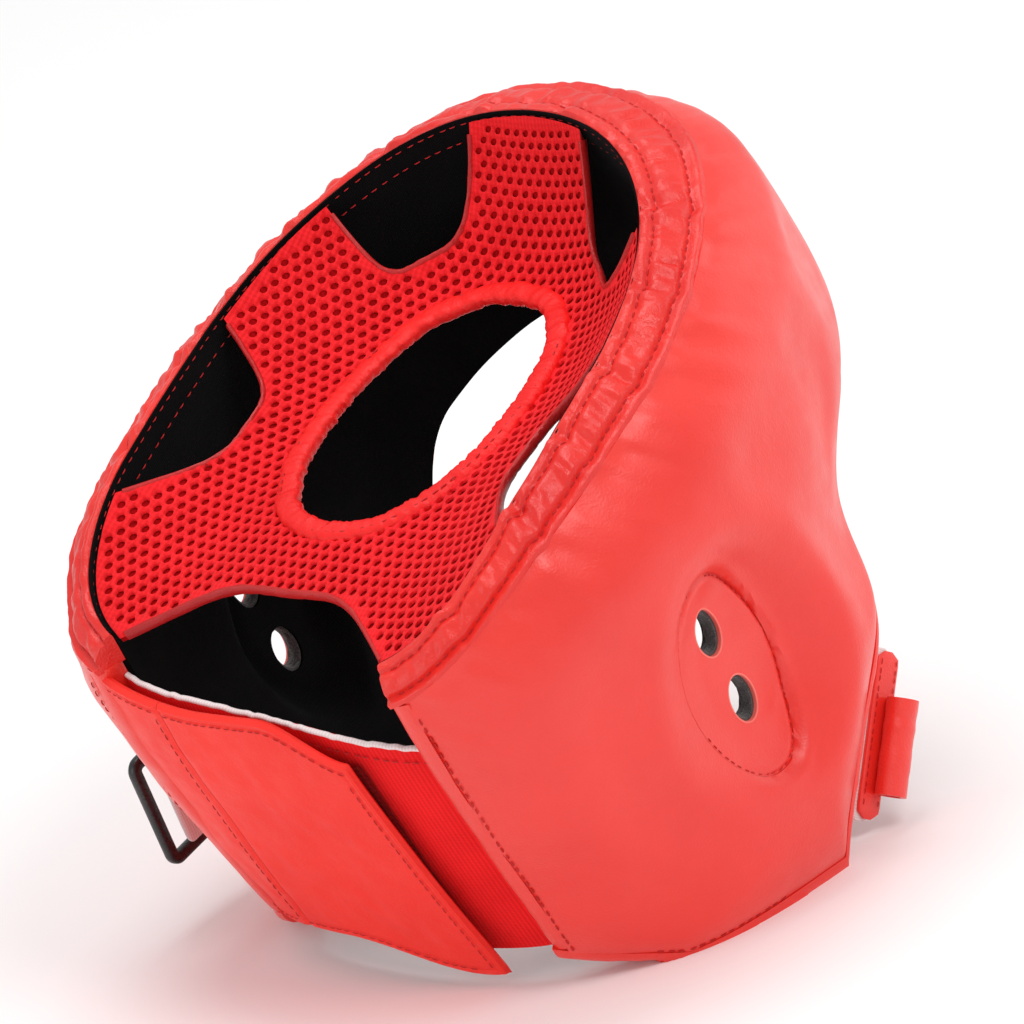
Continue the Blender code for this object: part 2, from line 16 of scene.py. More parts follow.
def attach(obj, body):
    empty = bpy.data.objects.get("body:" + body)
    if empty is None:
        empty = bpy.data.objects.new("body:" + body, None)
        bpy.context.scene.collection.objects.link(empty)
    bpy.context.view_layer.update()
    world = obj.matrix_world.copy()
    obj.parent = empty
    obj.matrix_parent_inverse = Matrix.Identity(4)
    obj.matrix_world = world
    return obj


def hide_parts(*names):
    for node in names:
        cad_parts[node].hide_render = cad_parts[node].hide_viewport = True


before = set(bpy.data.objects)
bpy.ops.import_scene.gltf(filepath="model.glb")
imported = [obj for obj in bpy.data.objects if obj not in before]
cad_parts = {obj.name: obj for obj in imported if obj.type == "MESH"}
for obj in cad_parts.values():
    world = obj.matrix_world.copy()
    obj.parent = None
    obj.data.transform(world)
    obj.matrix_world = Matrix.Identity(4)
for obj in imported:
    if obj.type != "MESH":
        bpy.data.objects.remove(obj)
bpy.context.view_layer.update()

# ---- driving dimensions of the headgear, in millimetres and degrees ----
TILT = math.radians(18.0)        # lean of the head frame as the headgear stands
FLOOR_DROP = 89.0                # floor below the head frame's zero
CENTRE_SHIFT = (1.28, 5.96)      # head frame's zero from the middle of the frame's box
REAR_ANGLE = 31.0                # half of the rear opening
STRIP_ANGLE = 2.8                # width of the folded rear edge
CENTRE_Y = -3.0                  # middle of the head oval
ROLL_RISE = 6.0                  # height of the lower edge's leather
LINING = 1.0                     # thickness of the lining
GAP = 0.3                        # clearance between neighbours
EDGE_T = 6.0                     # wall at the shell's edges
REAR_T = 9.4                     # wall at the rear edges
SIDE_T = 26.0                    # padded wall at the sides
FRONT_T = 32.0                   # padded wall at the forehead
EAR_Y, EAR_Z = -21.5, -5.0
EAR_RY, EAR_RZ = 20.5, 35.5
EAR_SINK = 10.0                  # depth of the bowl round the ear panel
BOWL_RY, BOWL_RZ = 34.5, 46.0
BOWL_AHEAD = 6.0                 # the bowl's middle, ahead of the panel's
EAR_WALL = 7.0                   # wall left at the ear panel
NECK_SINK = 9.0                  # depth of the waist over the cheek
PORTS = ((-21.6, 11.7), (-21.4, -14.5))
PORT_RY, PORT_RZ = 5.4, 8.2
HOLE_RX, HOLE_RY = 33.0, 48.5
HOLE_AHEAD = 6.0                 # the crown hole's middle, ahead of the oval's
BINDING = 6.0                    # width of the crown hole's binding
HALF = 180.0 - REAR_ANGLE        # half of the shell's own sweep, from the front middle
PAD_HALF = HALF - STRIP_ANGLE
SIDES = (("right", 1.0), ("left", -1.0))

# gaps between the web's arms: middle and half width from the rear middle, share of the web left
WEB_GAPS = ((0.0, 31.0, 0.42), (80.0, 22.0, 0.46), (149.5, 16.5, 0.42))
# heights of the rim and the lower edge, by the angle from the rear middle
RIM = ((0, 60), (31, 64), (58, 82), (80, 87.5), (102, 91.5), (133, 98.5), (150, 103.5),
       (166, 107), (180, 108))
LOWER = ((0, -54), (31, -54), (42, -65), (52, -78), (70, -96), (80, -97), (83, -88.5),
         (86, -82.5), (90, -76), (94, -69.5), (98, -63), (102, -57), (106, -51),
         (110, -44), (114, -35.5), (118.5, -22), (123.5, -6), (130, 7), (142, 16),
         (155, 24), (168, 30), (180, 32))
# half width and depths of the head oval, and how square its rear is, by height
SIDE_W = ((-95, 73), (-50, 79), (0, 82.5), (50, 83), (85, 80.5), (105, 78.5))
FRONT_W = ((-95, 82), (-20, 92), (30, 98), (70, 98), (105, 94))
REAR_W = ((-95, 90), (-60, 92), (-20, 96), (30, 98), (70, 96.5), (105, 95))
REAR_POWER = ((-60, 3.0), (-20, 3.3), (40, 4.0))


# ---- the head's surface, on arrays of angles and heights ----
def rounded(table, value, reach):
    """A table of sections read with its corners rounded over a reach."""
    xs = [row[0] for row in table]
    ys = [row[1] for row in table]
    steps = (-1.0, -0.5, 0.0, 0.5, 1.0)
    return sum(np.interp(value + s * reach, xs, ys) for s in steps) / 5.0


def clamp(value):
    return np.clip(value, 0.0, 1.0)


def ease(low, high, value):
    t = clamp((value - low) / (high - low))
    return t * t * (3.0 - 2.0 * t)


def hump(value, middle, reach):
    """Bell of height 1 round a middle."""
    return np.exp(-((value - middle) / reach) ** 2)


def blunt(value, power):
    """A sine or cosine made squarer by a power below 1, with its sign kept."""
    return math.copysign(abs(value) ** power, value)


def unit_rows(rows):
    return rows / np.linalg.norm(rows, axis=1)[:, None]


def full_turn(count):
    """Angles all round from the rear middle, and the same folded onto one side."""
    turns = np.linspace(0.0, 360.0, count, endpoint=False)
    return turns, np.where(turns <= 180.0, turns, 360.0 - turns)


def inner_radius(psi, z):
    """Radius of the head oval, psi degrees from the rear middle."""
    s = np.abs(np.sin(np.radians(psi)))
    c = np.cos(np.radians(psi))
    side = rounded(SIDE_W, z, 12.0)
    depth = np.where(c >= 0.0, rounded(REAR_W, z, 12.0), rounded(FRONT_W, z, 12.0))
    power = 2.2 + (rounded(REAR_POWER, z, 12.0) - 2.2) * ease(-0.25, 0.25, c)
    return ((s / side) ** power + (np.abs(c) / depth) ** power) ** (-1.0 / power)


def rim_z(psi):
    return rounded(RIM, psi, 6.0)


def lower_z(psi):
    cut = rounded(LOWER, psi, 3.0)
    y = CENTRE_Y - 97.0 * np.cos(np.radians(psi))
    floor = (-FLOOR_DROP - y * math.sin(TILT)) / math.cos(TILT)
    return np.maximum(cut, floor - 2.6)


def ear_q(y, z):
    """1 on the ear panel's seam, less inside it."""
    return np.hypot((y - EAR_Y) / EAR_RY, (z - EAR_Z) / EAR_RZ)


def bowl_q(y, z):
    """1 on the edge of the bowl round the ear panel, less inside it."""
    return np.hypot((y - EAR_Y - BOWL_AHEAD) / BOWL_RY, (z - EAR_Z) / BOWL_RZ)


def wall_t(psi, z):
    """Thickness of the shell, thinned at its edges, over the cheek and round the ear."""
    full = SIDE_T + (FRONT_T - SIDE_T) * ease(120.0, 160.0, psi)
    reach = 42.0 - 14.0 * ease(120.0, 160.0, psi)
    top = 1.0 - (1.0 - clamp((rim_z(psi) - z) / reach)) ** 2
    taper = 15.0 + 18.0 * ease(45.0, 78.0, psi) * (1.0 - ease(96.0, 114.0, psi))
    low = clamp((z - lower_z(psi) + 2.0) / taper)
    low = np.sqrt(1.0 - (1.0 - low) ** 2)
    back = 1.0 - (1.0 - clamp((psi - REAR_ANGLE) / 46.0)) ** 2
    least = EDGE_T + (REAR_T - EDGE_T) * (1.0 - ease(31.0, 50.0, psi))
    t = least + (full - least) * top * low * back
    neck = np.exp(-((psi - 126.0) / 14.0) ** 2 - ((z + 10.0) / 26.0) ** 2)
    t = np.maximum(EDGE_T, t - NECK_SINK * neck)
    y = CENTRE_Y - 102.0 * np.cos(np.radians(psi))
    return t - EAR_SINK * (1.0 - ease(0.45, 1.05, bowl_q(y, z)))


def lined_r(psi, z):
    """Radius of the lining: the head oval, with a hollow behind each ear panel."""
    y = CENTRE_Y - 96.0 * np.cos(np.radians(psi))
    hollow = 1.0 - ease(0.62, 1.12, ear_q(y, z))
    return inner_radius(psi, z) + (wall_t(psi, z) - EAR_WALL) * hollow


def at(a, z, r):
    """Head frame point. a is the angle from the front middle, + to the wearer's right."""
    a, z, r = np.broadcast_arrays(np.asarray(a, float), z, r)
    rad = np.radians(a)
    return np.stack([r * np.sin(rad), CENTRE_Y + r * np.cos(rad), z], -1)


def turn_out(d):
    """A head frame direction in the frame's axes."""
    d = np.asarray(d, float)
    y = d[..., 1] * math.cos(TILT) - d[..., 2] * math.sin(TILT)
    z = d[..., 1] * math.sin(TILT) + d[..., 2] * math.cos(TILT)
    return np.stack([-d[..., 0], -y, z], -1)


def stand(p):
    """Head frame millimetres to the frame's metres, with feet pressed flat on the floor."""
    p = turn_out(p) - (*CENTRE_SHIFT, -FLOOR_DROP)
    p[..., 2] = np.where(p[..., 2] < 0.9, 0.0, p[..., 2])
    return p * 0.001


def noise(x, y, seed):
    """Smooth noise from -1 to 1 on a unit lattice."""
    x, y = np.broadcast_arrays(np.asarray(x, float), np.asarray(y, float))
    xi, yi = np.floor(x), np.floor(y)
    fx, fy = x - xi, y - yi
    fx = fx * fx * (3.0 - 2.0 * fx)
    fy = fy * fy * (3.0 - 2.0 * fy)

    def lattice(i, j):
        h = np.sin(i * 127.1 + j * 311.7 + seed * 74.7) * 43758.5453
        return 2.0 * (h - np.floor(h)) - 1.0
    low = lattice(xi, yi) * (1 - fx) + lattice(xi + 1, yi) * fx
    high = lattice(xi, yi + 1) * (1 - fx) + lattice(xi + 1, yi + 1) * fx
    return low * (1 - fy) + high * fy


# ---- materials ----
class Nodes:
    """Short calls that add nodes to one material."""

    def __init__(self, name):
        self.mat = bpy.data.materials.new(name)
        self.mat.use_nodes = True
        self.tree = self.mat.node_tree
        self.shader = self.tree.nodes["Principled BSDF"]

    def put(self, socket, value):
        """Links a socket to another node's output, or sets it to a plain value."""
        if isinstance(value, bpy.types.NodeSocket):
            self.tree.links.new(value, socket)
        elif value is not None:
            socket.default_value = value

    def add(self, kind, **values):
        node = self.tree.nodes.new(kind)
        for key, value in values.items():
            label = key.replace("_", " ")
            if label in node.inputs:
                self.put(node.inputs[label], value)
            else:
                setattr(node, key, value)
        return node

    def coords(self, kind="Object"):
        return self.tree.nodes.new("ShaderNodeTexCoord").outputs[kind]

    def noise(self, scale, detail=3.0, rough=0.5):
        return self.add("ShaderNodeTexNoise", Vector=self.coords(), Scale=scale, Detail=detail,
                        Roughness=rough).outputs["Fac"]

    def cells(self, scale):
        return self.add("ShaderNodeTexVoronoi", Vector=self.coords(), Scale=scale,
                        feature="F1").outputs["Distance"]

    def wave(self, scale, direction, distortion=0.0):
        return self.add("ShaderNodeTexWave", Vector=self.coords("UV"), Scale=scale,
                        Distortion=distortion, bands_direction=direction).outputs["Fac"]

    def span(self, value, low, high, to_low=0.0, to_high=1.0):
        return self.add("ShaderNodeMapRange", Value=value, From_Min=low, From_Max=high,
                        To_Min=to_low, To_Max=to_high).outputs["Result"]

    def mix(self, share, first, second):
        node = self.add("ShaderNodeMix", data_type="RGBA", Factor=share)
        node.inputs[6].default_value = (*first, 1.0)
        node.inputs[7].default_value = (*second, 1.0)
        return node.outputs[2]

    def maths(self, operation, a, b):
        node = self.add("ShaderNodeMath", operation=operation)
        self.put(node.inputs[0], a)
        self.put(node.inputs[1], b)
        return node.outputs[0]

    def bump(self, height, distance, strength=1.0, normal=None):
        return self.add("ShaderNodeBump", Height=height, Distance=distance, Strength=strength,
                        Normal=normal).outputs["Normal"]

    def finish(self, colour, rough, normal, **more):
        self.put(self.shader.inputs["Base Color"], colour)
        self.put(self.shader.inputs["Roughness"], rough)
        self.put(self.shader.inputs["Normal"], normal)
        for key, value in more.items():
            self.put(self.shader.inputs[key.replace("_", " ")], value)
        return self.mat


def leather(name, light, deep, rough=0.42, wrinkle=0.35, coat=0.08, shine=0.42):
    """Smooth coated leather: fine pebble grain, soft creases and uneven gloss."""
    n = Nodes(name)
    colour = n.mix(n.span(n.noise(26.0, 4.0), 0.32, 0.68), light, deep)
    grain = n.maths("ADD", n.cells(1350.0), n.maths("MULTIPLY", n.noise(2600.0, 2.0), 0.6))
    normal = n.bump(n.noise(95.0, 5.0, 0.62), 0.0011, wrinkle)
    normal = n.bump(grain, 0.00016, 0.5, normal)
    gloss = n.span(n.noise(140.0, 4.0), 0.3, 0.7, rough - 0.06, rough + 0.08)
    return n.finish(colour, gloss, normal, Specular_IOR_Level=shine, Coat_Weight=coat,
                    Coat_Roughness=0.34)


def woven(name, light, deep, along, across, depth, rough=0.85, sheen=0.3, tint=(1, 1, 1),
          shine=0.25):
    """Woven cloth read from the piece's own length and width."""
    n = Nodes(name)
    picks = n.maths("MULTIPLY", n.wave(across, "Y", 0.6), 0.35)
    weave = n.maths("ADD", n.maths("MULTIPLY", n.wave(along, "X"), 0.65), picks)
    blotch = n.span(n.noise(60.0, 4.0), 0.3, 0.7, -0.25, 0.25)
    colour = n.mix(n.span(n.maths("ADD", weave, blotch), 0.0, 1.0), deep, light)
    normal = n.bump(n.noise(3000.0, 2.0), 0.0001, 0.4, n.bump(weave, depth, 0.8))
    return n.finish(colour, rough, normal, Specular_IOR_Level=shine, Sheen_Weight=sheen,
                    Sheen_Tint=(*tint, 1.0))


def foam_material():
    n = Nodes("black_foam_fuzz")
    fuzz = n.noise(1500.0, 5.0, 0.7)
    colour = n.mix(n.span(fuzz, 0.35, 0.7), (0.012, 0.012, 0.012), (0.09, 0.088, 0.085))
    return n.finish(colour, 0.95, n.bump(fuzz, 0.0006, 0.9), Sheen_Weight=0.4)


def plastic_material():
    n = Nodes("moulded_black_plastic")
    haze = n.noise(700.0, 3.0)
    colour = n.mix(n.span(n.noise(60.0), 0.3, 0.7), (0.008, 0.008, 0.008), (0.02, 0.02, 0.022))
    return n.finish(colour, n.span(haze, 0.3, 0.7, 0.22, 0.36), n.bump(haze, 0.00005, 0.3))


def thread_material():
    n = Nodes("deep_red_thread")
    twist = n.noise(2200.0, 2.0)
    colour = n.mix(n.span(twist, 0.35, 0.65), (0.42, 0.004, 0.006), (0.6, 0.008, 0.01))
    return n.finish(colour, 0.7, n.bump(twist, 0.0001, 0.6))


RED = leather("coral_leather", (0.87, 0.031, 0.019), (0.81, 0.022, 0.013), coat=0.5)
FLAP_RED = leather("flap_leather", (0.94, 0.036, 0.024), (0.87, 0.026, 0.018), 0.5, 0.6, 0.02,
                   0.24)
BRIGHT_EDGE = leather("cut_leather_edge", (0.93, 0.2, 0.16), (0.88, 0.1, 0.08), 0.5)
HEM_RED = leather("hem_leather", (0.84, 0.03, 0.02), (0.72, 0.015, 0.011), 0.36, 0.75, 0.16)
BIND_RED = leather("binding_leather", (0.92, 0.014, 0.012), (0.8, 0.008, 0.008), 0.48, 0.9, 0.03,
                   0.3)
DEEP = leather("deep_leather", (0.55, 0.012, 0.012), (0.4, 0.006, 0.008), 0.45, 0.5)
MESH = woven("spacer_mesh_face", (0.92, 0.012, 0.018), (0.74, 0.004, 0.008), 190.0, 190.0,
             0.0002, 0.75, 0.08, (1.0, 0.3, 0.3))
# the mesh's back layer: its own deep red, darkened further as painted shade inside the mesh's holes
MESH_BACK_SHADED = woven("spacer_mesh_back_painted_shade", (0.42, 0.001, 0.003), (0.3, 0.001, 0.002), 240.0, 240.0,
                  0.0002, 0.9, 0.03, (1.0, 0.2, 0.2), 0.1)
BLACK = woven("black_lining_cloth", (0.006, 0.006, 0.0065), (0.002, 0.002, 0.0025), 420.0,
              420.0, 0.00012, 0.9, 0.01, (1, 1, 1), 0.06)
ELASTIC = woven("ribbed_elastic", (0.93, 0.013, 0.015), (0.7, 0.005, 0.007), 210.0, 420.0,
                0.0002, 0.8, 0.08, (1.0, 0.4, 0.4), 0.15)
BACKING = woven("white_backing_cloth", (0.86, 0.76, 0.75), (0.72, 0.6, 0.6), 300.0, 300.0,
                0.0001, 0.8, 0.2)
# hook and loop tape: its dark red is painted shade, standing for the shadow under the flap's free
# edge where the tape shows
SHADED_TAPE = woven("hook_and_loop_tape_painted_shade", (0.32, 0.006, 0.008), (0.16, 0.002, 0.003), 170.0, 170.0,
             0.0005, 0.95, 0.1, (1.0, 0.3, 0.3), 0.1)
FOAM = foam_material()
PLASTIC = plastic_material()
THREAD = thread_material()


# ---- building pieces ----
def new_object(name, verts, faces, mat=None, uv=None, closed=True):
    """An object in the scene, with the faces of a closed mesh turned outwards."""
    mesh = bpy.data.meshes.new(name)
    mesh.from_pydata([tuple(v) for v in verts], [], faces)
    if mat is not None:
        mesh.materials.append(mat)
    if uv is not None:
        layer = mesh.uv_layers.new(name="UVMap")
        index = np.empty(len(mesh.loops), int)
        mesh.loops.foreach_get("vertex_index", index)
        layer.data.foreach_set("uv", np.asarray(uv, float)[index].ravel())
    if closed:
        bm = bmesh.new()
        bm.from_mesh(mesh)
        bmesh.ops.recalc_face_normals(bm, faces=bm.faces)
        bm.to_mesh(mesh)
        bm.free()
    obj = bpy.data.objects.new(name, mesh)
    bpy.context.scene.collection.objects.link(obj)
    return obj


def smooth(mesh, sharp):
    """Smooth shading, with edges sharper than an angle in degrees left crisp."""
    mesh.shade_smooth()
    mesh.set_sharp_from_angle(angle=math.radians(sharp))


def piece(name, verts, faces, mat, body, nodes=(), uv=None, sharp=40.0):
    """One named object that rides on a body and stands for some CAD nodes."""
    obj = new_object(name, verts, faces, mat, uv)
    smooth(obj.data, sharp)
    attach(obj, body)
    if nodes:
        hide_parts(*nodes)
    return obj


def sweep(name, sections, mat, body, nodes=(), ring=False):
    """Closed loops of points, one after another, joined into one closed skin."""
    s = np.asarray(sections, float)
    n, k = s.shape[:2]
    steps = np.linalg.norm(np.roll(s, -1, 0) - s, axis=2).mean(1)
    along = np.concatenate([[0.0], np.cumsum(steps)[:-1]])
    around = np.linalg.norm(np.roll(s, -1, 1) - s, axis=2).mean(0)
    around = np.concatenate([[0.0], np.cumsum(around)[:-1]])
    uv = np.stack(np.broadcast_arrays(along[:, None], around[None, :]), -1).reshape(-1, 2)
    faces = []
    for i in range(n if ring else n - 1):
        j = (i + 1) % n
        for p in range(k):
            q = (p + 1) % k
            faces.append((i * k + p, j * k + p, j * k + q, i * k + q))
    if not ring:
        faces.append(tuple(range(k)))
        faces.append(tuple(range((n - 1) * k, n * k))[::-1])
    return piece(name, s.reshape(-1, 3), faces, mat, body, nodes, uv)


def plate(name, front, back, mat, body, nodes=(), ring=False):
    """Closed plate between two grids of points, each columns by rows."""
    return sweep(name, np.concatenate([front, back[:, ::-1]], 1), mat, body, nodes, ring)


THREAD_SIDES = 6
THREAD_BOW = (-0.25, 0.125, 0.225, 0.125, -0.25)     # rise along one stitch
THREAD_TAPER = (0.55, 1.0, 1.0, 1.0, 0.55)


def stitches(name, lines, body, pitch=3.3, length=2.1, wide=0.55, lift=0.1):
    """Threads laid along lines of (point, outward normal) arrays, in metres."""
    verts, faces = [], []
    sides = THREAD_SIDES
    for points, normals in lines:
        d = np.concatenate([[0.0], np.cumsum(np.linalg.norm(np.diff(points, axis=0), axis=1))])
        for k in range(int(d[-1] * 1000.0 / pitch)):
            mid = (k + 0.5) * pitch * 0.001 + 0.0003 * math.sin(k * 2.4)
            spans = mid + np.linspace(-0.5, 0.5, 5) * length * 0.001
            if spans[0] < 0.0 or spans[-1] > d[-1]:
                continue
            p = np.stack([np.interp(spans, d, points[:, c]) for c in range(3)], 1)
            up = unit_rows(np.stack([np.interp(spans, d, normals[:, c]) for c in range(3)], 1))
            side = np.cross(unit_rows(np.gradient(p, axis=0)), up)
            base = len(verts)
            for i in range(5):
                r = wide * 0.0005 * THREAD_TAPER[i]
                for j in range(sides):
                    t = 2.0 * math.pi * j / sides
                    rise = r * 0.8 * math.sin(t) + (lift + THREAD_BOW[i] * 0.4) * 0.001
                    verts.append(p[i] + side[i] * (r * math.cos(t)) + up[i] * rise)
            for i in range(base, base + 4 * sides, sides):
                for j in range(sides):
                    q = (j + 1) % sides
                    faces.append((i + j, i + q, i + sides + q, i + sides + j))
            faces.append(tuple(range(base, base + sides))[::-1])
            faces.append(tuple(range(base + 4 * sides, base + 5 * sides)))
    return piece(name, verts, faces, THREAD, body, sharp=80.0)


def cutter(sign, centre, ry, rz, count=64):
    """Oval bar through one side of the shell, for a Boolean to cut with."""
    verts = []
    for x in sorted((sign * 60.0, sign * 140.0)):
        for k in range(count):
            t = 2.0 * math.pi * k / count
            verts.append(stand((x, centre[0] + ry * math.cos(t), centre[1] + rz * math.sin(t))))
    faces = [tuple(range(count)), tuple(range(count, 2 * count))[::-1]]
    for k in range(count):
        q = (k + 1) % count
        faces.append((k, k + count, q + count, q))
    return new_object("cutter", verts, faces)


def cut(obj, tools, operation="DIFFERENCE"):
    """Booleans applied to a piece, whose tools are then removed."""
    for tool in tools:
        mod = obj.modifiers.new("cut", "BOOLEAN")
        mod.operation = operation
        mod.solver = "EXACT"
        mod.object = tool
        bpy.context.view_layer.update()
        graph = bpy.context.evaluated_depsgraph_get()
        old = obj.data
        obj.data = bpy.data.meshes.new_from_object(obj.evaluated_get(graph))
        obj.modifiers.remove(mod)
        bpy.data.meshes.remove(old)
        bpy.data.objects.remove(tool)
    smooth(obj.data, 38.0)


# ---- the padded shell ----
HEM_FOOT = 10.4                  # the hem's lower seam, below the rim
EDGE_LIP = 1.6                   # leather thickness at the rim's inner edge
EAR_SEAM_DEPTH = 1.7             # groove round the ear panel


def ear_seam(psi, y, z):
    """The ear panel's sewn groove, fading out towards the rear."""
    q = ear_q(y, z)
    fade = ease(-17.0, -6.0, y - EAR_Y)
    groove = hump(q, 1.0, 0.035) * EAR_SEAM_DEPTH * fade
    pillow = 1.3 * hump(q, 0.55, 0.36)
    lip = 0.8 * hump(q, 1.09, 0.06) * fade
    return np.where(psi < 150.0, pillow * 0.6 + lip - groove, 0.0)


def hem_puckers(a, z):
    """Short creases in the cover that run down from the hem's seam."""
    psi = 180.0 - np.abs(a)
    below = (rim_z(psi) - HEM_FOOT - z)
    length = 9.0 + 9.0 * (0.5 + 0.5 * noise(a * 0.09, 0.0, 5))
    fade = np.exp(-np.clip(below, 0.0, None) / length) * ease(-0.5, 3.0, below)
    slant = a * 1.55 + below * 0.55 * np.sign(a)
    folds = noise(slant * 0.16, below * 0.02, 3) + 0.5 * noise(slant * 0.36, below * 0.05, 8)
    corner = 1.0 + 0.9 * ease(112.0, 140.0, np.abs(a))
    return 1.2 * fade * folds * corner


def ear_hollow(y, z):
    """Extra depth of the ear bowl under its front wall, and the plump lip in front of it."""
    q = bowl_q(y, z)
    lean = np.clip((y - EAR_Y) / BOWL_RY, -1.0, 1.0)
    front = ease(0.0, 0.5, lean + 0.1)
    lip = hump(q, 1.08, 0.2)
    return front * (2.0 * (1.0 - ease(0.5, 0.86, q)) - 1.1 * lip)


def skin_r(a, z):
    """Outer radius of the shell's leather."""
    psi = 180.0 - np.abs(a)
    r = inner_radius(psi, z) + wall_t(psi, z)
    y = CENTRE_Y - r * np.cos(np.radians(psi))
    soft = 0.7 * noise(a * 0.055, z * 0.045, 11) * ease(0.9, 1.5, ear_q(y, z))
    soft = soft - ear_hollow(y, z)
    rear = 0.8 * np.exp(-((HALF - np.abs(a)) / 9.0)) * noise(z * 0.12, a * 0.1, 17)
    return r + ear_seam(psi, y, z) + hem_puckers(a, z) + soft + rear


def cover_z(psi, v):
    """Height on the cover, v of the way from the lower edge to the hem's seam."""
    low = lower_z(psi) + ROLL_RISE - 0.4
    return low + v * (rim_z(psi) - HEM_FOOT + 0.4 - low)


CLOTH_FRAMES = 20
COVER_CAP = 0.0016               # most that the simulated cover swells, in metres


def relax_cover(a, v, rest):
    """Cloth simulation of the cover, held along its seams: how far each point swells, in metres."""
    n, m = rest.shape[:2]
    faces = [(i * m + j, (i + 1) * m + j, (i + 1) * m + j + 1, i * m + j + 1)
             for i in range(n - 1) for j in range(m - 1)]
    obj = new_object("cover_cloth", rest.reshape(-1, 3), faces, closed=False)
    held = obj.vertex_groups.new(name="held")
    psi = 180.0 - np.abs(a)
    z = cover_z(psi[:, None], v[None, :])
    y = CENTRE_Y - (inner_radius(psi[:, None], z) + 18.0) * np.cos(np.radians(psi[:, None]))
    grip = np.maximum(np.exp(-v / 0.03)[None, :] + np.exp(-(1.0 - v) / 0.03)[None, :],
                      np.where(ear_q(y, z) < 1.12, 1.0, 0.0))
    grip[0] = 1.0
    grip[-1] = 1.0
    for index, weight in enumerate(clamp(grip).ravel()):
        if weight > 0.03:
            held.add([index], float(weight), "REPLACE")
    mod = obj.modifiers.new("cloth", "CLOTH")
    cloth = mod.settings
    cloth.quality = 6
    cloth.mass = 0.25
    cloth.tension_stiffness = 12.0
    cloth.compression_stiffness = 12.0
    cloth.shear_stiffness = 6.0
    cloth.bending_stiffness = 4.0
    cloth.use_pressure = True
    cloth.uniform_pressure_force = 4.0
    cloth.shrink_min = -0.004
    cloth.vertex_group_mass = "held"
    cloth.pin_stiffness = 1.0
    cloth.effector_weights.gravity = 0.0
    scene = bpy.context.scene
    mod.point_cache.frame_start = 1
    mod.point_cache.frame_end = CLOTH_FRAMES
    for number in range(1, CLOTH_FRAMES + 1):
        scene.frame_set(number)
    graph = bpy.context.evaluated_depsgraph_get()
    moved = np.empty(n * m * 3)
    obj.evaluated_get(graph).data.vertices.foreach_get("co", moved)
    scene.frame_set(1)
    bpy.data.objects.remove(obj)
    return moved.reshape(n, m, 3) - rest


def spread(values, rows, columns):
    """A coarse grid read at finer columns and rows, with smooth steps between."""
    out = values
    for axis, count in ((0, columns), (1, rows)):
        size = values.shape[axis]
        t = np.linspace(0.0, size - 1.0, count)
        i = np.clip(np.floor(t).astype(int), 0, size - 2)
        f = t - i
        picks = [np.take(out, np.clip(i + k, 0, size - 1), axis) for k in (-1, 0, 1, 2)]
        shape = [1, 1, 1]
        shape[axis] = count
        f = f.reshape(shape)
        w = (-0.5 * f + f ** 2 - 0.5 * f ** 3, 1 - 2.5 * f ** 2 + 1.5 * f ** 3,
             0.5 * f + 2 * f ** 2 - 1.5 * f ** 3, -0.5 * f ** 2 + 0.5 * f ** 3)
        out = sum(p * g for p, g in zip(picks, w))
    return out


def cover_grid(columns, rows):
    """Angles, shares of the height, and points of the cover's outer face."""
    a = np.linspace(-PAD_HALF - 0.25, PAD_HALF + 0.25, columns)
    v = np.linspace(0.0, 1.0, rows)
    z = cover_z(180.0 - np.abs(a)[:, None], v[None, :])
    return a, v, stand(at(a[:, None], z, skin_r(a[:, None], z)))


def shell_cover():
    """Padded leather cover, open at both ear panels, with its simulated swell."""
    columns, rows = 420, 84
    a, _, front = cover_grid(columns, rows)
    sa, sv, rest = cover_grid(196, 40)
    swell = relax_cover(sa, sv, rest)
    for _ in range(6):
        swell[1:-1] = (swell[:-2] + 2.0 * swell[1:-1] + swell[2:]) / 4.0
        swell[:, 1:-1] = (swell[:, :-2] + 2.0 * swell[:, 1:-1] + swell[:, 2:]) / 4.0
    size = np.linalg.norm(swell, axis=2, keepdims=True)
    swell = swell * np.tanh(size / COVER_CAP) * COVER_CAP / np.maximum(size, 1e-9)
    front = front + spread(swell, rows, columns)
    front[..., 2] = np.maximum(front[..., 2], 0.0)
    back_v = np.linspace(0.0, 1.0, 42)
    z = cover_z(180.0 - np.abs(a)[:, None], back_v[None, :])
    back = stand(at(a[:, None], z, lined_r(180.0 - np.abs(a)[:, None], z) + LINING + GAP))
    cover = plate("shell_cover", front, back, RED, "shell",
                  ("outer_cover", "forehead_foam", "side_foam_right", "side_foam_left"))
    cut(cover, [cutter(sign, (EAR_Y, EAR_Z), EAR_RY + 0.05, EAR_RZ + 0.05, 96)
                for _, sign in SIDES])


def ear_panels():
    """Oval leather panels over the ears, with two holes each and a stitch line."""
    lines = []
    for word, sign in SIDES:
        a = np.linspace(66.0, 122.0, 130) * sign
        z = np.linspace(EAR_Z - EAR_RZ - 4.0, EAR_Z + EAR_RZ + 4.0, 84)
        r = skin_r(a[:, None], z[None, :])
        front = stand(at(a[:, None], z[None, :], r))
        back = stand(at(a[:, None], z[None, ::8], r[:, ::8] - 2.4))
        panel = plate("ear_panel_soft_" + word, front, back, RED, "shell",
                      ("ear_panel_" + word,))
        cut(panel, [cutter(sign, (EAR_Y, EAR_Z), EAR_RY, EAR_RZ, 96)], "INTERSECT")
        cut(panel, [cutter(sign, c, PORT_RY, PORT_RZ) for c in PORTS])
        for label, centre in zip(("upper", "lower"), PORTS):
            ear_port(word, sign, label, centre)
        # stitch line inside the seam, over its front, top and lower parts
        t = np.radians(np.linspace(-170.0, 74.0, 150))
        y = EAR_Y + (EAR_RY - 0.6) * np.cos(t)
        z = EAR_Z + (EAR_RZ - 0.6) * np.sin(t)
        lines.append(surface_line(angle_at(sign, y, z), z))
    stitches("ear_panel_stitches", lines, "shell", pitch=3.0, length=1.8, wide=0.42)


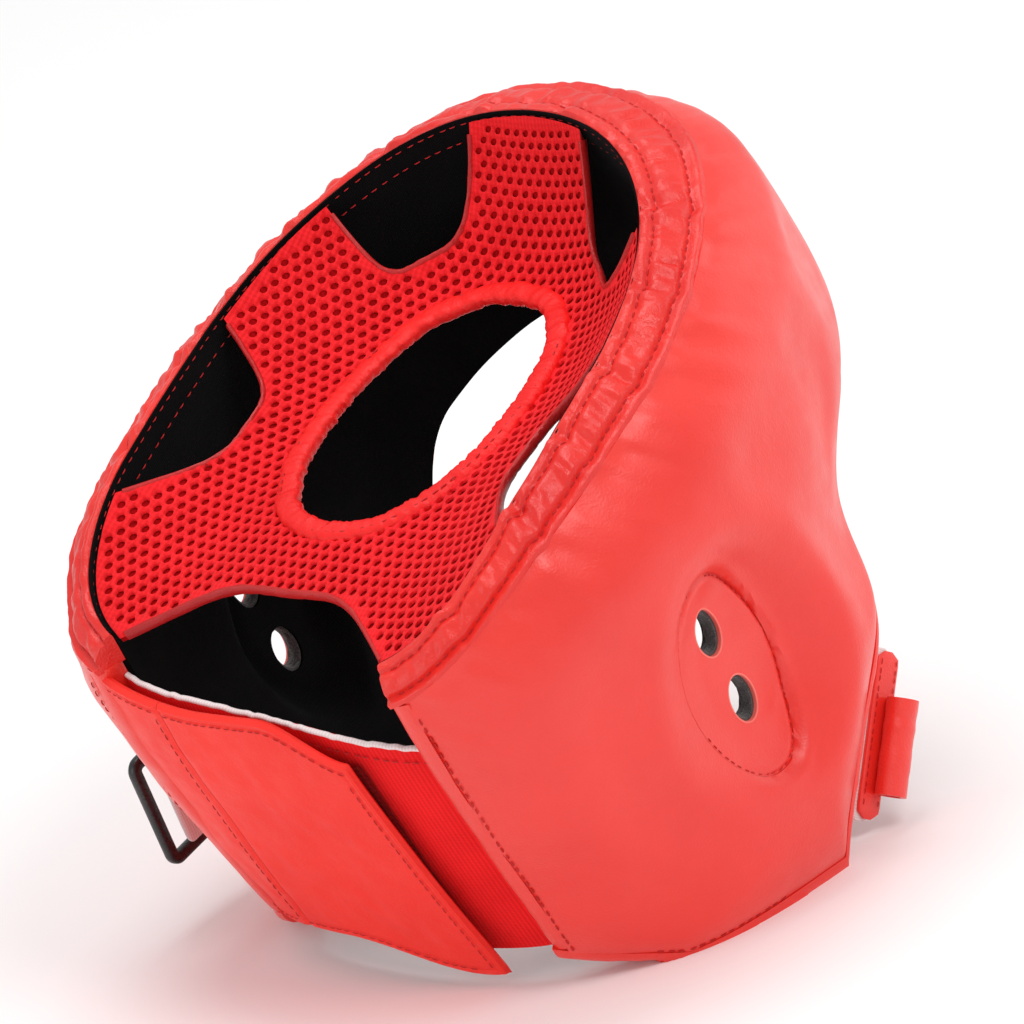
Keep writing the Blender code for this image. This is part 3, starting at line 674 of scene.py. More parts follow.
def angle_at(sign, y, z):
    """Angle from the front where the skin passes a given y."""
    psi = np.full_like(y, 80.0)
    for _ in range(12):
        r = skin_r(180.0 - psi, z)
        psi = np.degrees(np.arccos(np.clip((CENTRE_Y - y) / r, -1.0, 1.0)))
    return sign * (180.0 - psi)


def surface_line(a, z, radius=skin_r, lift=0.0):
    """Points and outward normals on a surface along a line of angles and heights."""
    p = stand(at(a, z, radius(a, z) + lift))
    da = stand(at(a + 0.6, z, radius(a + 0.6, z))) - stand(at(a - 0.6, z, radius(a - 0.6, z)))
    dz = stand(at(a, z + 0.8, radius(a, z + 0.8))) - stand(at(a, z - 0.8, radius(a, z - 0.8)))
    normal = unit_rows(np.cross(da, dz))
    out = turn_out(np.stack([np.sin(np.radians(a)), np.cos(np.radians(a)), 0 * a], -1))
    flip = np.sign((normal * out).sum(1))
    return p, normal * flip[:, None]


def ear_port(word, sign, label, centre):
    """Soft foam wall of one ear hole, and the cut edge of the leather round it."""
    count = 56
    t = np.linspace(0.0, 2.0 * math.pi, count, endpoint=False)
    y = centre[0] + PORT_RY * np.cos(t)
    z = centre[1] + PORT_RZ * np.sin(t)
    a = angle_at(sign, y, z)
    outer = skin_r(a, z) - 1.5
    inner = lined_r(180.0 - np.abs(a), z) + 0.6
    outward = sign * np.abs(np.sin(np.radians(a)))
    depth = np.linspace(0.0, 1.0, 14)
    sections = []
    for k in range(count):
        c, e = math.cos(t[k]), math.sin(t[k])
        wall = []
        for d in depth:
            x = outward[k] * (outer[k] + (inner[k] - outer[k]) * d)
            fuzz = 0.45 * float(noise(k * 0.37, d * 7.0, 21))
            squeeze = 1.0 + 0.55 * math.sin(math.pi * d) + fuzz * 0.5
            wall.append((x, y[k] - squeeze * c, z[k] - squeeze * e))
        for d in depth[::-1]:
            x = outward[k] * (outer[k] + (inner[k] - outer[k]) * d)
            wall.append((x, y[k] + 1.6 * c, z[k] + 1.6 * e))
        sections.append(stand(np.array(wall)))
    sweep("ear_port_foam_" + label + "_" + word, sections, FOAM, "shell",
          ("ear_hole_liner_" + label + "_" + word,), ring=True)
    rim = []
    for reach, height in ((0.32, 0.1), (0.32, -1.3), (-0.25, -1.3), (-0.25, 0.0), (0.0, 0.18)):
        rim.append(np.stack([outward * (outer + 1.5 + height), y + reach * np.cos(t),
                             z + reach * np.sin(t)], -1))
    sweep("ear_port_edge_" + label + "_" + word, stand(np.stack(rim, 1)), BRIGHT_EDGE, "shell",
          ring=True)


HEM_SEAMS = (0.2, 0.76)          # shares of the hem's width where its two seams run
# folds where the hem is gathered: angle from the front middle, and depth in millimetres
HEM_PLEATS = ((-112.0, 1.4), (-91.0, 1.7), (-76.0, 2.2), (-58.0, 1.6), (-34.0, 2.0),
              (-15.0, 3.0), (6.0, 1.4), (24.0, 1.5), (44.0, 2.7), (63.0, 1.3), (84.0, 1.5),
              (101.0, 1.3), (117.0, 2.3), (134.0, 1.4))


def hem_profile(a, share):
    """Points on the rim's hem, share of the way down from its inner edge."""
    psi = 180.0 - np.abs(a)
    top = rim_z(psi)
    z1 = top - HEM_FOOT
    t1 = wall_t(psi, z1)
    length = np.hypot(t1 - EDGE_LIP, HEM_FOOT)
    off = EDGE_LIP + (t1 - EDGE_LIP) * share
    z = top - HEM_FOOT * share
    lift = 1.5 * np.sin(math.pi * clamp(share)) ** 0.6
    lift = lift - 1.25 * hump(share, HEM_SEAMS[0], 0.06)
    lift = lift - 1.35 * hump(share, HEM_SEAMS[1], 0.06)
    lift = lift + 0.9 * hump(share, 0.92, 0.05)
    folds = noise(a * 0.26 + share * 1.5, share * 1.3, 31)
    folds = folds + 0.75 * noise(a * 0.55 - share * 1.1, share * 2.0, 32)
    folds = folds + 0.35 * noise(a * 1.1 + share, share * 3.0, 35)
    window = 0.3 + 0.7 * hump(share, 0.48, 0.26)
    lift = lift + 1.15 * folds * window
    waver = 0.55 * noise(a * 0.16, 0.0, 33) + 0.35 * noise(a * 0.45, 0.0, 34)
    kink = np.zeros_like(psi)
    for middle, deep in HEM_PLEATS:
        kink = kink + deep * hump(a, middle, 1.5) * (1.0 - 0.75 * share)
        kink = kink - 0.55 * deep * hump(a - middle, 2.9, 1.6) * (1.0 - share)
    nz = (t1 - EDGE_LIP) / length
    nr = HEM_FOOT / length
    return stand(at(a, z + lift * nz + waver * (1 - share) - kink,
                    inner_radius(psi, z) + off + lift * nr + kink * 0.45 * share))


def rim_hem():
    """Gathered leather hem round the crown opening, with its two rows of stitches."""
    a = np.linspace(-HALF, HALF, 640)
    front = hem_profile(a[:, None], np.linspace(0.0, 1.0, 30)[None, :])
    psi = 180.0 - np.abs(a)
    back = []
    for drop, off in ((0.4, 0.6), (1.4, 0.15), (HEM_FOOT * 0.6, 0.1), (HEM_FOOT, 0.1)):
        z = rim_z(psi) - drop
        back.append(at(a, z, inner_radius(psi, z) + off))
    plate("rim_hem_leather", front, stand(np.stack(back, 1)), HEM_RED, "shell",
          ("rim_hem",))
    a = np.linspace(-HALF + 0.8, HALF - 0.8, 700)
    stitches("rim_hem_stitches", [hem_line(a, share) for share in HEM_SEAMS], "shell", pitch=3.5,
             length=2.3, wide=0.62, lift=0.05)


def hem_line(a, share):
    """Points and upward normals along one seam of the hem."""
    p = hem_profile(a, share)
    normal = unit_rows(np.cross(hem_profile(a + 0.5, share) - p,
                                hem_profile(a, share + 0.03) - p))
    normal = normal * np.sign(normal[:, 2])[:, None]
    for _ in range(3):
        normal[1:-1] = (normal[:-2] + normal[1:-1] + normal[2:]) / 3.0
    return p, normal


def lower_roll():
    """Rolled leather edge round the face opening and under the cheeks."""
    a = np.linspace(-HALF, HALF, 560)
    psi = 180.0 - np.abs(a)
    low = lower_z(psi)
    top = low + ROLL_RISE
    t = wall_t(psi, top) + 0.25
    sections = []
    for phi in np.linspace(0.0, math.pi, 22):
        c = blunt(math.cos(phi), 0.8)
        s = math.sin(phi) ** 0.75
        off = 0.2 + t * (0.5 - 0.5 * c)
        pucker = 0.35 * noise(a * 0.5, phi * 1.5, 41) * math.sin(phi)
        z = top - (ROLL_RISE - 0.2) * s - pucker
        sections.append(at(a, z, inner_radius(psi, top) + off + pucker * 0.4))
    sections.append(at(a, top + 0.2, inner_radius(psi, top) + t * 0.6))
    sections.append(at(a, top + 0.2, inner_radius(psi, top) + t * 0.4))
    sweep("lower_edge_leather", stand(np.stack(sections, 1)), RED, "shell",
          ("lower_edge_roll",))
    lines = []
    for first, last in ((-136.0, -112.0), (112.0, 136.0)):
        b = np.linspace(first, last, 120)
        z = lower_z(180.0 - np.abs(b)) + ROLL_RISE + 1.0
        lines.append(surface_line(b, z))
    stitches("lower_edge_stitches", lines, "shell")


def inner_lining():
    """Black lining inside the shell, with the ear holes cut through."""
    a = np.linspace(-PAD_HALF - 2.4, PAD_HALF + 2.4, 300)
    psi = 180.0 - np.abs(a)
    v = np.linspace(0.0, 1.0, 50)
    low = lower_z(psi)[:, None] + 3.0
    z = low + v[None, :] * (rim_z(psi)[:, None] - 0.8 - low)
    loose = 0.5 * noise(a[:, None] * 0.06, z * 0.05, 51)
    front = stand(at(a[:, None], z, lined_r(psi[:, None], z) - 0.15 + np.minimum(loose, 0.2)))
    back = stand(at(a[:, None], z, lined_r(psi[:, None], z) + LINING))
    lining = plate("lining_cloth", front, back, BLACK, "shell",
                   ("inner_lining",))
    cut(lining, [cutter(sign, c, PORT_RY - 0.3, PORT_RZ - 0.3)
                 for _, sign in SIDES for c in PORTS])
    lines = []
    for drop in (2.6, 9.0):
        b = np.linspace(-HALF + 1.0, HALF - 1.0, 500)
        z = rim_z(180.0 - np.abs(b)) - drop
        p, normal = surface_line(b, z, lambda x, h: inner_radius(180.0 - np.abs(x), h) - 0.2)
        lines.append((p, -normal))
    stitches("lining_stitches", lines, "shell", pitch=3.9, wide=0.4, lift=0.05)


def rear_edges():
    """Folded leather edge at the rear of each side."""
    lines = []
    for word, sign in (("right", 1.0), ("left", -1.0)):
        z_share = np.linspace(0.0, 1.0, 120)
        psi_out = REAR_ANGLE
        sections = []
        width = STRIP_ANGLE + 0.4
        for phi in np.linspace(0.0, math.pi, 15):
            reach = math.sin(phi) ** 0.6
            depth = 0.5 - 0.5 * blunt(math.cos(phi), 0.7)
            a = PAD_HALF - 0.2 + width * reach
            psi = 180.0 - a
            low = lower_z(psi_out) + ROLL_RISE - 0.6
            z = low + z_share * (rim_z(psi_out) - HEM_FOOT + 0.8 - low)
            waver = 0.3 * noise(z * 0.16, phi, 61)
            r = inner_radius(psi, z) + 0.1 + (wall_t(max(psi, REAR_ANGLE), z) + 0.35) * depth
            sections.append(at(sign * (a + waver * 0.2), z, r + waver * 0.5 * depth))
        sweep("rear_edge_leather_" + word, stand(np.stack(sections, 1)), RED, "shell",
              ("rear_edge_" + word,))
        z = np.linspace(lower_z(REAR_ANGLE) + 4.0, rim_z(REAR_ANGLE) - HEM_FOOT - 1.0, 200)
        lines.append(surface_line(sign * (HALF - 3.4) * np.ones_like(z), z, lift=0.25))
    stitches("rear_edge_stitches", lines, "shell")


# ---- crown web ----
WEB_LOW = 67.0                   # height of the crown hole
WEB_DROP = 3.4                   # the web's seam, below the rim
MESH_PITCH = 4.25
MESH_HOLE = 1.52                 # radius of one opening of the mesh
MESH_SIDES = 10


def web_reach(psi):
    """Share of the web's full width that is left at an angle, less in its gaps."""
    reach = np.ones_like(psi)
    for middle, half, least in WEB_GAPS:
        t = np.abs(psi - middle) / half
        reach = np.where(t < 1.0, least + (1.0 - least) * t ** 4, reach)
    return reach


def hole_radius(psi, grow):
    """Radius of the oval crown hole, let out by a distance, found by halving."""
    s = np.sin(np.radians(psi)) / (HOLE_RX + grow)
    c = np.cos(np.radians(psi)) / (HOLE_RY + grow)
    ahead = HOLE_AHEAD / (HOLE_RY + grow)
    near = np.full_like(s, 5.0)
    far = np.full_like(s, 90.0)
    for _ in range(24):
        r = (near + far) / 2.0
        out = np.abs(r * s) ** 2.3 + np.abs(r * c + ahead) ** 2.3 > 1.0
        far = np.where(out, r, far)
        near = np.where(out, near, r)
    return r


def web_limits(psi):
    """Inner and outer radius of the web, and the height where it's sewn on."""
    top = rim_z(psi) - WEB_DROP
    return hole_radius(psi, BINDING + GAP), inner_radius(psi, top) - 1.4, top


def polar(x, y):
    """Angle from the rear middle and distance from the oval's middle."""
    return np.degrees(np.arctan2(np.abs(x), -(y - CENTRE_Y))), np.hypot(x, y - CENTRE_Y)


def ringed(radius, turns, z):
    """Points of a closed line round the crown."""
    rad = np.radians(turns)
    return np.stack(np.broadcast_arrays(radius * np.sin(rad), CENTRE_Y - radius * np.cos(rad), z),
                    -1)


def web_height(x, y):
    """Height of the sagging web over a point in plan."""
    psi, r = polar(x, y)
    r0, r1, top = web_limits(psi)
    share = clamp((r - r0) / (r1 - r0))
    return WEB_LOW + (top - WEB_LOW) * share ** 1.6


def web_length(psi, share):
    """Length of the sagging web from its hole out to a share of its width, in millimetres."""
    r0, r1, top = web_limits(psi)
    rise = 1.6 * (top - WEB_LOW) / (r1 - r0)
    steps = np.linspace(0.0, 1.0, 17) * share[..., None]
    slope = np.sqrt(1.0 + (rise[..., None] * steps ** 0.6) ** 2)
    return (r1 - r0) * share * (slope[..., 1:] + slope[..., :-1]).sum(-1) / 32.0


def web_rolled(flat):
    """Places of points of the flat cut web in plan, once the web is sewn in and sags."""
    psi, out = polar(flat[:, 0], flat[:, 1])
    r0, r1, _ = web_limits(psi)
    low = np.zeros_like(out)
    high = np.full_like(out, 1.3)
    for _ in range(18):
        share = (low + high) / 2.0
        past = web_length(psi, share) > out - r0
        high = np.where(past, share, high)
        low = np.where(past, low, share)
    scale = np.where(out > r0, r0 + (r1 - r0) * share, out) / np.maximum(out, 1e-6)
    return np.column_stack([flat[:, 0] * scale, CENTRE_Y + (flat[:, 1] - CENTRE_Y) * scale])


def web_room(x, y):
    """Distance of flat points from the web's nearest cut edge, along the radius."""
    psi, out = polar(x, y)
    inner, outer = web_outline(psi)
    return np.minimum(out - inner, outer - out)


def web_outline(psi):
    """Radii of the flat web's inner and outer cut edges."""
    r0 = web_limits(psi)[0]
    return r0 - 3.0, r0 + web_length(psi, web_reach(psi))


def declare_web(layer):
    """Works out the flat web's outer outline all round and keeps nothing; the layer it is given is
    not used.
    """
    turns, fold = full_turn(720)
    inner, outer = web_outline(fold)
    outline = ringed(outer, turns, 0.0)


def mesh_centres():
    """Middles of the flat web's round openings, well inside its cut edges, and their outline."""
    rows = MESH_PITCH * math.sqrt(3.0) / 2.0
    centres = np.array([((i + 0.5 * (j % 2)) * MESH_PITCH, j * rows + CENTRE_Y)
                        for j in range(-46, 46) for i in range(-38, 38)])
    turns = np.linspace(0.0, 2.0 * math.pi, MESH_SIDES, endpoint=False)
    ring = np.array([(math.cos(t), math.sin(t)) for t in turns])
    spots = centres[:, None, :] + ring[None] * (MESH_HOLE + 0.5)
    return centres[web_room(spots[..., 0], spots[..., 1]).min(1) > 0.0], ring


def nearest(points, centres):
    """Distance of each point from the nearest centre, a block at a time to spare memory."""
    found = np.empty(len(points))
    for start in range(0, len(points), 4000):
        block = points[start:start + 4000]
        squares = ((block[:, None, :] - centres[None]) ** 2).sum(2)
        found[start:start + 4000] = np.sqrt(squares).min(1)
    return found


def mesh_sheet(centres, ring):
    """Flat triangles of the web with its openings left out."""
    points, edges = [], []
    for c in centres:
        base = len(points)
        points += [tuple(c + MESH_HOLE * spoke) for spoke in ring]
        edges += [(base + k, base + (k + 1) % MESH_SIDES) for k in range(MESH_SIDES)]
    step = (0.0, MESH_PITCH / math.sqrt(3.0))
    joints = np.concatenate([centres + step, centres - step])
    joints = joints[web_room(joints[:, 0], joints[:, 1]) > 0.6]
    points += [tuple(p) for p in np.unique(joints.round(3), axis=0)]
    turns, fold = full_turn(720)
    for radius in web_outline(fold):
        base = len(points)
        points += [tuple(p) for p in ringed(radius, turns, 0.0)[:, :2]]
        edges += [(base + k, base + (k + 1) % 720) for k in range(720)]
    found = delaunay_2d_cdt([Vector(p) for p in points], edges, [], 0, 1e-5)
    xy = np.array([tuple(v) for v in found[0]])
    faces = np.array([f for f in found[2] if len(f) == 3])
    middle = xy[faces].mean(1)
    inside = web_room(middle[:, 0], middle[:, 1]) > 0.0
    faces = faces[inside & (nearest(middle, centres) > MESH_HOLE * 0.93)]
    used = np.unique(faces)
    renumber = np.full(len(xy), -1)
    renumber[used] = np.arange(len(used))
    return xy[used], renumber[faces]


def open_edges(faces):
    """Edges that only one face uses."""
    seen = {}
    for f in faces:
        for p, q in ((f[0], f[1]), (f[1], f[2]), (f[2], f[0])):
            if (q, p) in seen:
                del seen[(q, p)]
            else:
                seen[(p, q)] = True
    return list(seen)


def web_face():
    """The mesh's face layer, with its round holes."""
    centres, ring = mesh_centres()
    xy, faces = mesh_sheet(centres, ring)
    crest = clamp((nearest(xy, centres) - MESH_HOLE) / 0.9)
    plan = web_rolled(xy)
    slack = 1.1 * noise(plan[:, 0] * 0.05, plan[:, 1] * 0.05, 71)
    z = web_height(plan[:, 0], plan[:, 1]) + 1.0 + slack * 0.5 + 0.3 * crest
    top = np.column_stack([plan, z])
    under = np.column_stack([plan, z - 1.1 - 0.3 * crest])
    count = len(top)
    closed = [tuple(f) for f in faces] + [tuple(f[::-1] + count) for f in faces]
    closed += [(q, p, p + count, q + count) for p, q in open_edges(faces)]
    uv = np.concatenate([xy, xy]) * 0.001
    declare_web(piece("crown_mesh_face", stand(np.concatenate([top, under])), closed, MESH,
                      "shell", ("crown_web",), uv, sharp=75.0))


def web_back():
    """The mesh's back layer, seen through the face's holes: its own deep red, darkened further with
    painted shade of the holes.
    """
    turns, fold = full_turn(360)
    r0, r1, _ = web_limits(fold)
    outer = r0 + (r1 - r0) * web_reach(fold) - 0.3
    share = np.linspace(0.0, 1.0, 26)
    r = (r0 - 3.0)[:, None] + (outer - r0 + 3.0)[:, None] * share
    x, y, _ = np.moveaxis(ringed(r, turns[:, None], 0.0), -1, 0)
    z = web_height(x, y) + 0.55 * noise(x * 0.05, y * 0.05, 71)
    front, back = (stand(np.stack([x, y, z - drop], -1)) for drop in (0.35, 1.6))
    declare_web(plate("crown_mesh_back", front, back, MESH_BACK_SHADED, "shell",
                      ring=True))


UPWARDS = np.array((0.0, 0.0, 1.0))


def facing(direction, count):
    """The same outward direction for each point of a line of stitches."""
    return np.tile(turn_out(direction), (count, 1))


def tube_along(points, up, wide, high, count=14, power=0.8, ripple=None):
    """Oval sections along points, flattened to wide by high, in millimetres."""
    way = unit_rows(np.gradient(points, axis=0))
    up = np.broadcast_to(up, points.shape)
    up = unit_rows(up - way * (up * way).sum(1)[:, None])
    side = np.cross(way, up)
    sections = []
    for k in range(count):
        t = 2.0 * math.pi * k / count
        c = blunt(math.cos(t), power) * wide / 2.0
        s = blunt(math.sin(t), power) * high / 2.0
        grow = np.ones(len(points))
        if ripple is not None:
            grow = grow + ripple(np.arange(len(points)), t)
        sections.append(points + side * (c * grow)[:, None] + up * (s * grow)[:, None])
    return np.stack(sections, 1)


def crown_binding():
    """Puckered leather binding round the crown hole."""
    count = 420
    turns, fold = full_turn(count)
    r = hole_radius(fold, BINDING / 2.0)
    r = r + 0.35 * noise(turns * 0.11, 0.0, 81)
    points = ringed(r, turns, WEB_LOW + 0.2 + 0.5 * noise(turns * 0.06, 1.0, 82))
    wrap = np.concatenate([points[-3:], points, points[:3]])

    def ripple(index, t):
        turn = index * 360.0 / count
        return 0.13 * noise(turn * 0.42 + t * 0.7, t * 0.6, 83) + 0.09 * noise(turn * 0.9, t, 84)
    sections = tube_along(wrap, UPWARDS, BINDING + 1.6, 4.6, 18, 0.75, ripple)[3:-3]
    sweep("crown_hole_leather_binding", stand(sections), BIND_RED, "shell",
          ("crown_hole_binding",), ring=True)
    outer = hole_radius(fold, BINDING - 1.4)
    line = ringed(outer, turns, WEB_LOW + 2.1)
    stitches("crown_hole_stitches", [(stand(line), facing(UPWARDS, count))], "shell",
             pitch=3.4, length=2.2)


# the same gaps, by side of the head: name, middle and half width
GAP_EDGES = (("rear", 0.0, 31.0), ("right", 80.0, 22.0), ("left", -80.0, 22.0),
             ("front_right", 149.5, 16.5), ("front_left", -149.5, 16.5))


def edge_ripple(index, angle):
    return 0.08 * noise(index * 0.4, angle, 91)


def web_edges():
    """Thin folded edge along each gap between the web's arms."""
    for word, middle, half in GAP_EDGES:
        t = np.linspace(-0.985, 0.985, 90)
        turn = middle + t * half
        psi = np.abs(turn)
        r0, r1, top = web_limits(psi)
        share = web_reach(psi)
        points = ringed(r0 + (r1 - r0) * share, turn, WEB_LOW + (top - WEB_LOW) * share ** 1.6)
        fold = tube_along(points, UPWARDS, 1.7, 3.4, 12, 0.9, edge_ripple)
        sweep("web_edge_fold_" + word, stand(fold), DEEP, "shell",
              ("web_edge_" + word,))


# ---- rear closure ----
END = REAR_ANGLE - 0.2           # where the elastic meets the rear edges
SEAM = -18.6                     # the seam that the flap hinges on
MM_PER_DEGREE = 1.72             # along the flap
FLAP_DEPTH = 7.6                 # middle of the flap's leather, out from the head oval


def behind(turn, z, depth):
    """Point at a turn from the rear middle, + to the wearer's right."""
    turn, z, depth = np.broadcast_arrays(np.asarray(turn, float), z, depth)
    r = inner_radius(np.abs(turn), z) + depth
    rad = np.radians(turn)
    return np.stack([r * np.sin(rad), CENTRE_Y - r * np.cos(rad), z], -1)


def behind_line(turn, z, depth):
    """Points and outward normals along a line on the rear closure."""
    p = stand(behind(turn, z, depth))
    return p, stand(behind(turn, z, 14.0)) - p


# edges of the elastic and the flap, as heights by the turn from the rear middle
def elastic_top(turn):
    t = (turn + END) / (2.0 * END)
    return 50.0 - 17.0 * t + 3.0 * np.sin(math.pi * t)


def elastic_low(turn):
    return -53.0 + 3.0 * (1.0 - (turn / END) ** 2)


def flap_top(turn):
    drop = 15.0 * ease(2.0, 17.5, turn) ** 1.2
    return 53.0 - 4.0 * ease(-31.0, -10.0, turn) - drop


def flap_low(turn):
    return -47.0 + 3.0 * ease(-31.0, -14.0, turn) - 13.0 * ease(-10.0, 20.0, turn)


def free_edge(v):
    """Turn of the flap's free edge, v of the way up."""
    return 21.3 - 3.6 * v


def edge_round(distance, reach):
    """1 away from an edge and 0 at it, as a rolled edge falls away."""
    t = clamp(distance / reach)
    return np.sqrt(1.0 - (1.0 - t) ** 2)


def rear_closure():
    """Ribbed elastic panel between the rear edges, with its cut edge and stitches."""
    turns = np.linspace(-END, END, 120)
    v = np.linspace(0.0, 1.0, 90)
    low = elastic_low(turns)[:, None]
    z = low + (elastic_top(turns)[:, None] - low) * v
    ease_in = 0.35 * noise(turns[:, None] * 0.1, z * 0.03, 101)
    front = stand(behind(turns[:, None], z, 2.7 + ease_in))
    back = stand(behind(turns[:, None], z, 1.0 + ease_in))
    elastic = plate("elastic_ribbed_panel", front, back, ELASTIC, "shell",
                    ("elastic_panel",))
    top = np.linspace(-END, END, 140)
    crest = behind(top, elastic_top(top) + 0.2 + 0.35 * noise(top * 0.8, 0.0, 102), 2.0)
    out = behind(top, elastic_top(top), 12.0) - behind(top, elastic_top(top), 0.0)
    binding = sweep("elastic_cut_edge", stand(tube_along(crest, out, 1.5, 1.8, 10)), BACKING,
                    "shell")
    line = np.linspace(-END, END, 200)
    thread = stitches("elastic_stitches", [behind_line(line, elastic_top(line) - 5.0, 2.9)],
                      "shell")
    leather_flap()
    tapes()


def flap_plate(name, low_turn, high_turn, node, body):
    """Leather panel with rolled edges, up to a turn or, where that is None, to the free edge."""
    free = high_turn is None
    s = np.linspace(0.0, 1.0, 90 if free else 40)
    v = np.linspace(0.0, 1.0, 110)
    edge = free_edge(v)[None, :] if free else high_turn
    turn = np.broadcast_to(low_turn + (edge - low_turn) * s[:, None], (len(s), len(v)))
    low = flap_low(turn)
    high_mm = flap_top(turn) - low
    z = low + high_mm * v
    rows = np.minimum(v * high_mm, (1.0 - v) * high_mm)
    body_t = 3.0 * edge_round(rows, 1.6)
    inset = np.minimum(rows, 40.0)
    if free:
        from_edge = (1.0 - s[:, None]) * (edge - low_turn) * MM_PER_DEGREE
        body_t = body_t * edge_round(from_edge, 1.6)
        inset = np.minimum(inset, from_edge)
    puff = 0.75 * noise(turn * 0.09, z * 0.045, 111) + 0.3 * noise(turn * 0.3, z * 0.12, 112)
    piping = 0.35 * hump(inset, 1.3, 0.8)
    groove = -0.4 * hump(inset, 2.6, 0.45)
    seam = -0.55 * hump(turn * MM_PER_DEGREE, SEAM * MM_PER_DEGREE, 1.1)
    mid = FLAP_DEPTH + puff * ease(0.0, 12.0, inset)
    front = behind(turn, z, mid + body_t / 2.0 + (piping + groove + seam) * (body_t > 1.5))
    back = behind(turn, z, mid - body_t / 2.0)
    return plate(name, stand(front), stand(back), FLAP_RED, body, (node,))


def leather_flap():
    """The flap's sewn root and the flap that closes over the elastic, with their stitches."""
    flap_plate("flap_root_leather", -END - 0.6, SEAM - 0.1, "flap_root", "shell")
    flap_plate("closure_flap_leather", SEAM + 0.02, None, "closure_flap", "closure_flap")
    v = np.linspace(0.04, 0.94, 200)
    edge = free_edge(v) - 2.0
    edge_z = flap_low(edge) + (flap_top(edge) - flap_low(edge)) * v
    root_z = np.linspace(flap_low(SEAM) + 4.0, flap_top(SEAM) - 4.0, 200)
    for name, body, first, last, upright in (
            ("flap_root_stitches", "shell", -END, SEAM - 0.6,
             behind_line(np.full(200, SEAM - 1.2), root_z, 9.3)),
            ("flap_stitches", "closure_flap", SEAM + 0.6, 17.2,
             behind_line(edge, edge_z, 9.35))):
        t = np.linspace(first, last, 160)
        lines = [behind_line(t, flap_top(t) - 3.2, 9.35), behind_line(t, flap_low(t) + 3.2, 9.35)]
        stitches(name, lines + [upright], body, pitch=3.2, length=2.1, wide=0.4)


def tapes():
    """Both halves of the hook and loop tape, under the flap. The tape is real, but its dark red is
    painted shade under the flap's edge.
    """
    for name, node, body, first, last, low, high, d0, d1 in (
            ("loop_tape", "loop_patch", "shell", -16.0, 18.0, -38.0, 30.0, 3.2, 4.3),
            ("hook_tape", "hook_patch", "closure_flap", -13.0, 16.0, -34.0, 27.0, 4.6, 5.7)):
        turns = np.linspace(first, last, 60)
        z = np.linspace(low, high, 60)
        front = stand(behind(turns[:, None], z[None], d1 - 0.1))
        back = stand(behind(turns[:, None], z[None, ::6], d0 + 0.1))
        plate(name, front, back, SHADED_TAPE, body, (node,))


# ---- chin tab ----
# the tab's upper and lower ends, then its axes: along it, ahead across it, out of the cheek
TAB_TOP = np.array((82.5, 39.2, -51.4))
TAB_END = np.array((84.5, 0.2, -81.4))


def unit(v):
    v = np.asarray(v, float)
    return v / np.linalg.norm(v)


ALONG = unit(TAB_END - TAB_TOP)
AHEAD = np.array((0.10, 0.63, -0.77))
AHEAD = unit(AHEAD - ALONG * AHEAD.dot(ALONG))
OUT = np.cross(ALONG, AHEAD)
OUT = OUT if OUT[0] > 0.0 else -OUT
TAB_MID = (TAB_TOP + TAB_END) / 2.0 + AHEAD * 7.5 + ALONG * 1.8


def oblong(centre, e1, e2, e3, sizes, corner):
    """Flat strap sections along e1, rounded at its corners and edges."""
    length, width, thick = sizes
    s = np.linspace(-0.5, 0.5, 26) * length
    end = np.minimum(s + length / 2.0, length / 2.0 - s)
    narrow = np.sqrt(np.clip(1.0 - (1.0 - clamp(end / corner)) ** 2, 0.02, 1.0))
    half = width / 2.0 - corner * (1.0 - narrow)
    sections = []
    for t in np.linspace(0.0, 2.0 * math.pi, 20, endpoint=False):
        c = blunt(math.cos(t), 0.35)
        d = blunt(math.sin(t), 0.6) * thick / 2.0
        p = centre + s[:, None] * e1 + (half * c)[:, None] * e2
        sections.append(p + (d * np.minimum(1.0, narrow + 0.25))[:, None] * e3)
    return np.stack(sections, 1)


def chin_tab():
    """Tab on the right cheek, with a white backing and a rolled loop."""
    plate_mid = TAB_MID + OUT * 1.0
    sweep("chin_tab_plate", stand(oblong(plate_mid, ALONG, AHEAD, OUT, (50.0, 8.6, 1.9), 3.2)),
          RED, "chin_tab", ("chin_tab_leather",))
    backing_mid = TAB_MID - AHEAD * 1.9 - OUT * 0.3
    backing = oblong(backing_mid, ALONG, AHEAD, OUT, (51.6, 9.2, 1.5), 3.4)
    sweep("chin_tab_white_backing", stand(backing), BACKING, "chin_tab",
          ("chin_tab_backing",))
    centre = TAB_MID + AHEAD * 3.5 + ALONG * 3.0 + OUT * 6.0
    s = np.linspace(-14.5, 14.5, 44)
    crease = 0.25 * noise(s * 0.35, 0.0, 121)
    walls = []
    for ru, rv in ((5.3, 4.3), (3.7, 2.7)):
        loop = []
        for t in np.linspace(0.0, 2.0 * math.pi, 28, endpoint=False):
            flat = 0.85 if math.sin(t) < 0 else 1.0
            wob = crease * (0.4 + 0.6 * abs(math.sin(t)))
            loop.append(centre + s[:, None] * ALONG
                        + ((ru + wob * 0.5) * math.cos(t))[:, None] * AHEAD
                        + ((rv * flat + wob) * math.sin(t))[:, None] * OUT)
        walls.append(stand(np.stack(loop, 1)))
    tube_wall("chin_tab_rolled_loop", *walls, RED, "chin_tab", "red_leather", ("chin_tab_loop",))
    s = np.linspace(-23.0, 23.0, 80)[:, None]
    lines = [(stand(plate_mid + s * ALONG + side * 2.9 * AHEAD + 1.0 * OUT), facing(OUT, 80))
             for side in (-1.0, 1.0)]
    stitches("chin_tab_stitches", lines, "chin_tab", pitch=2.6, length=1.7, wide=0.3)


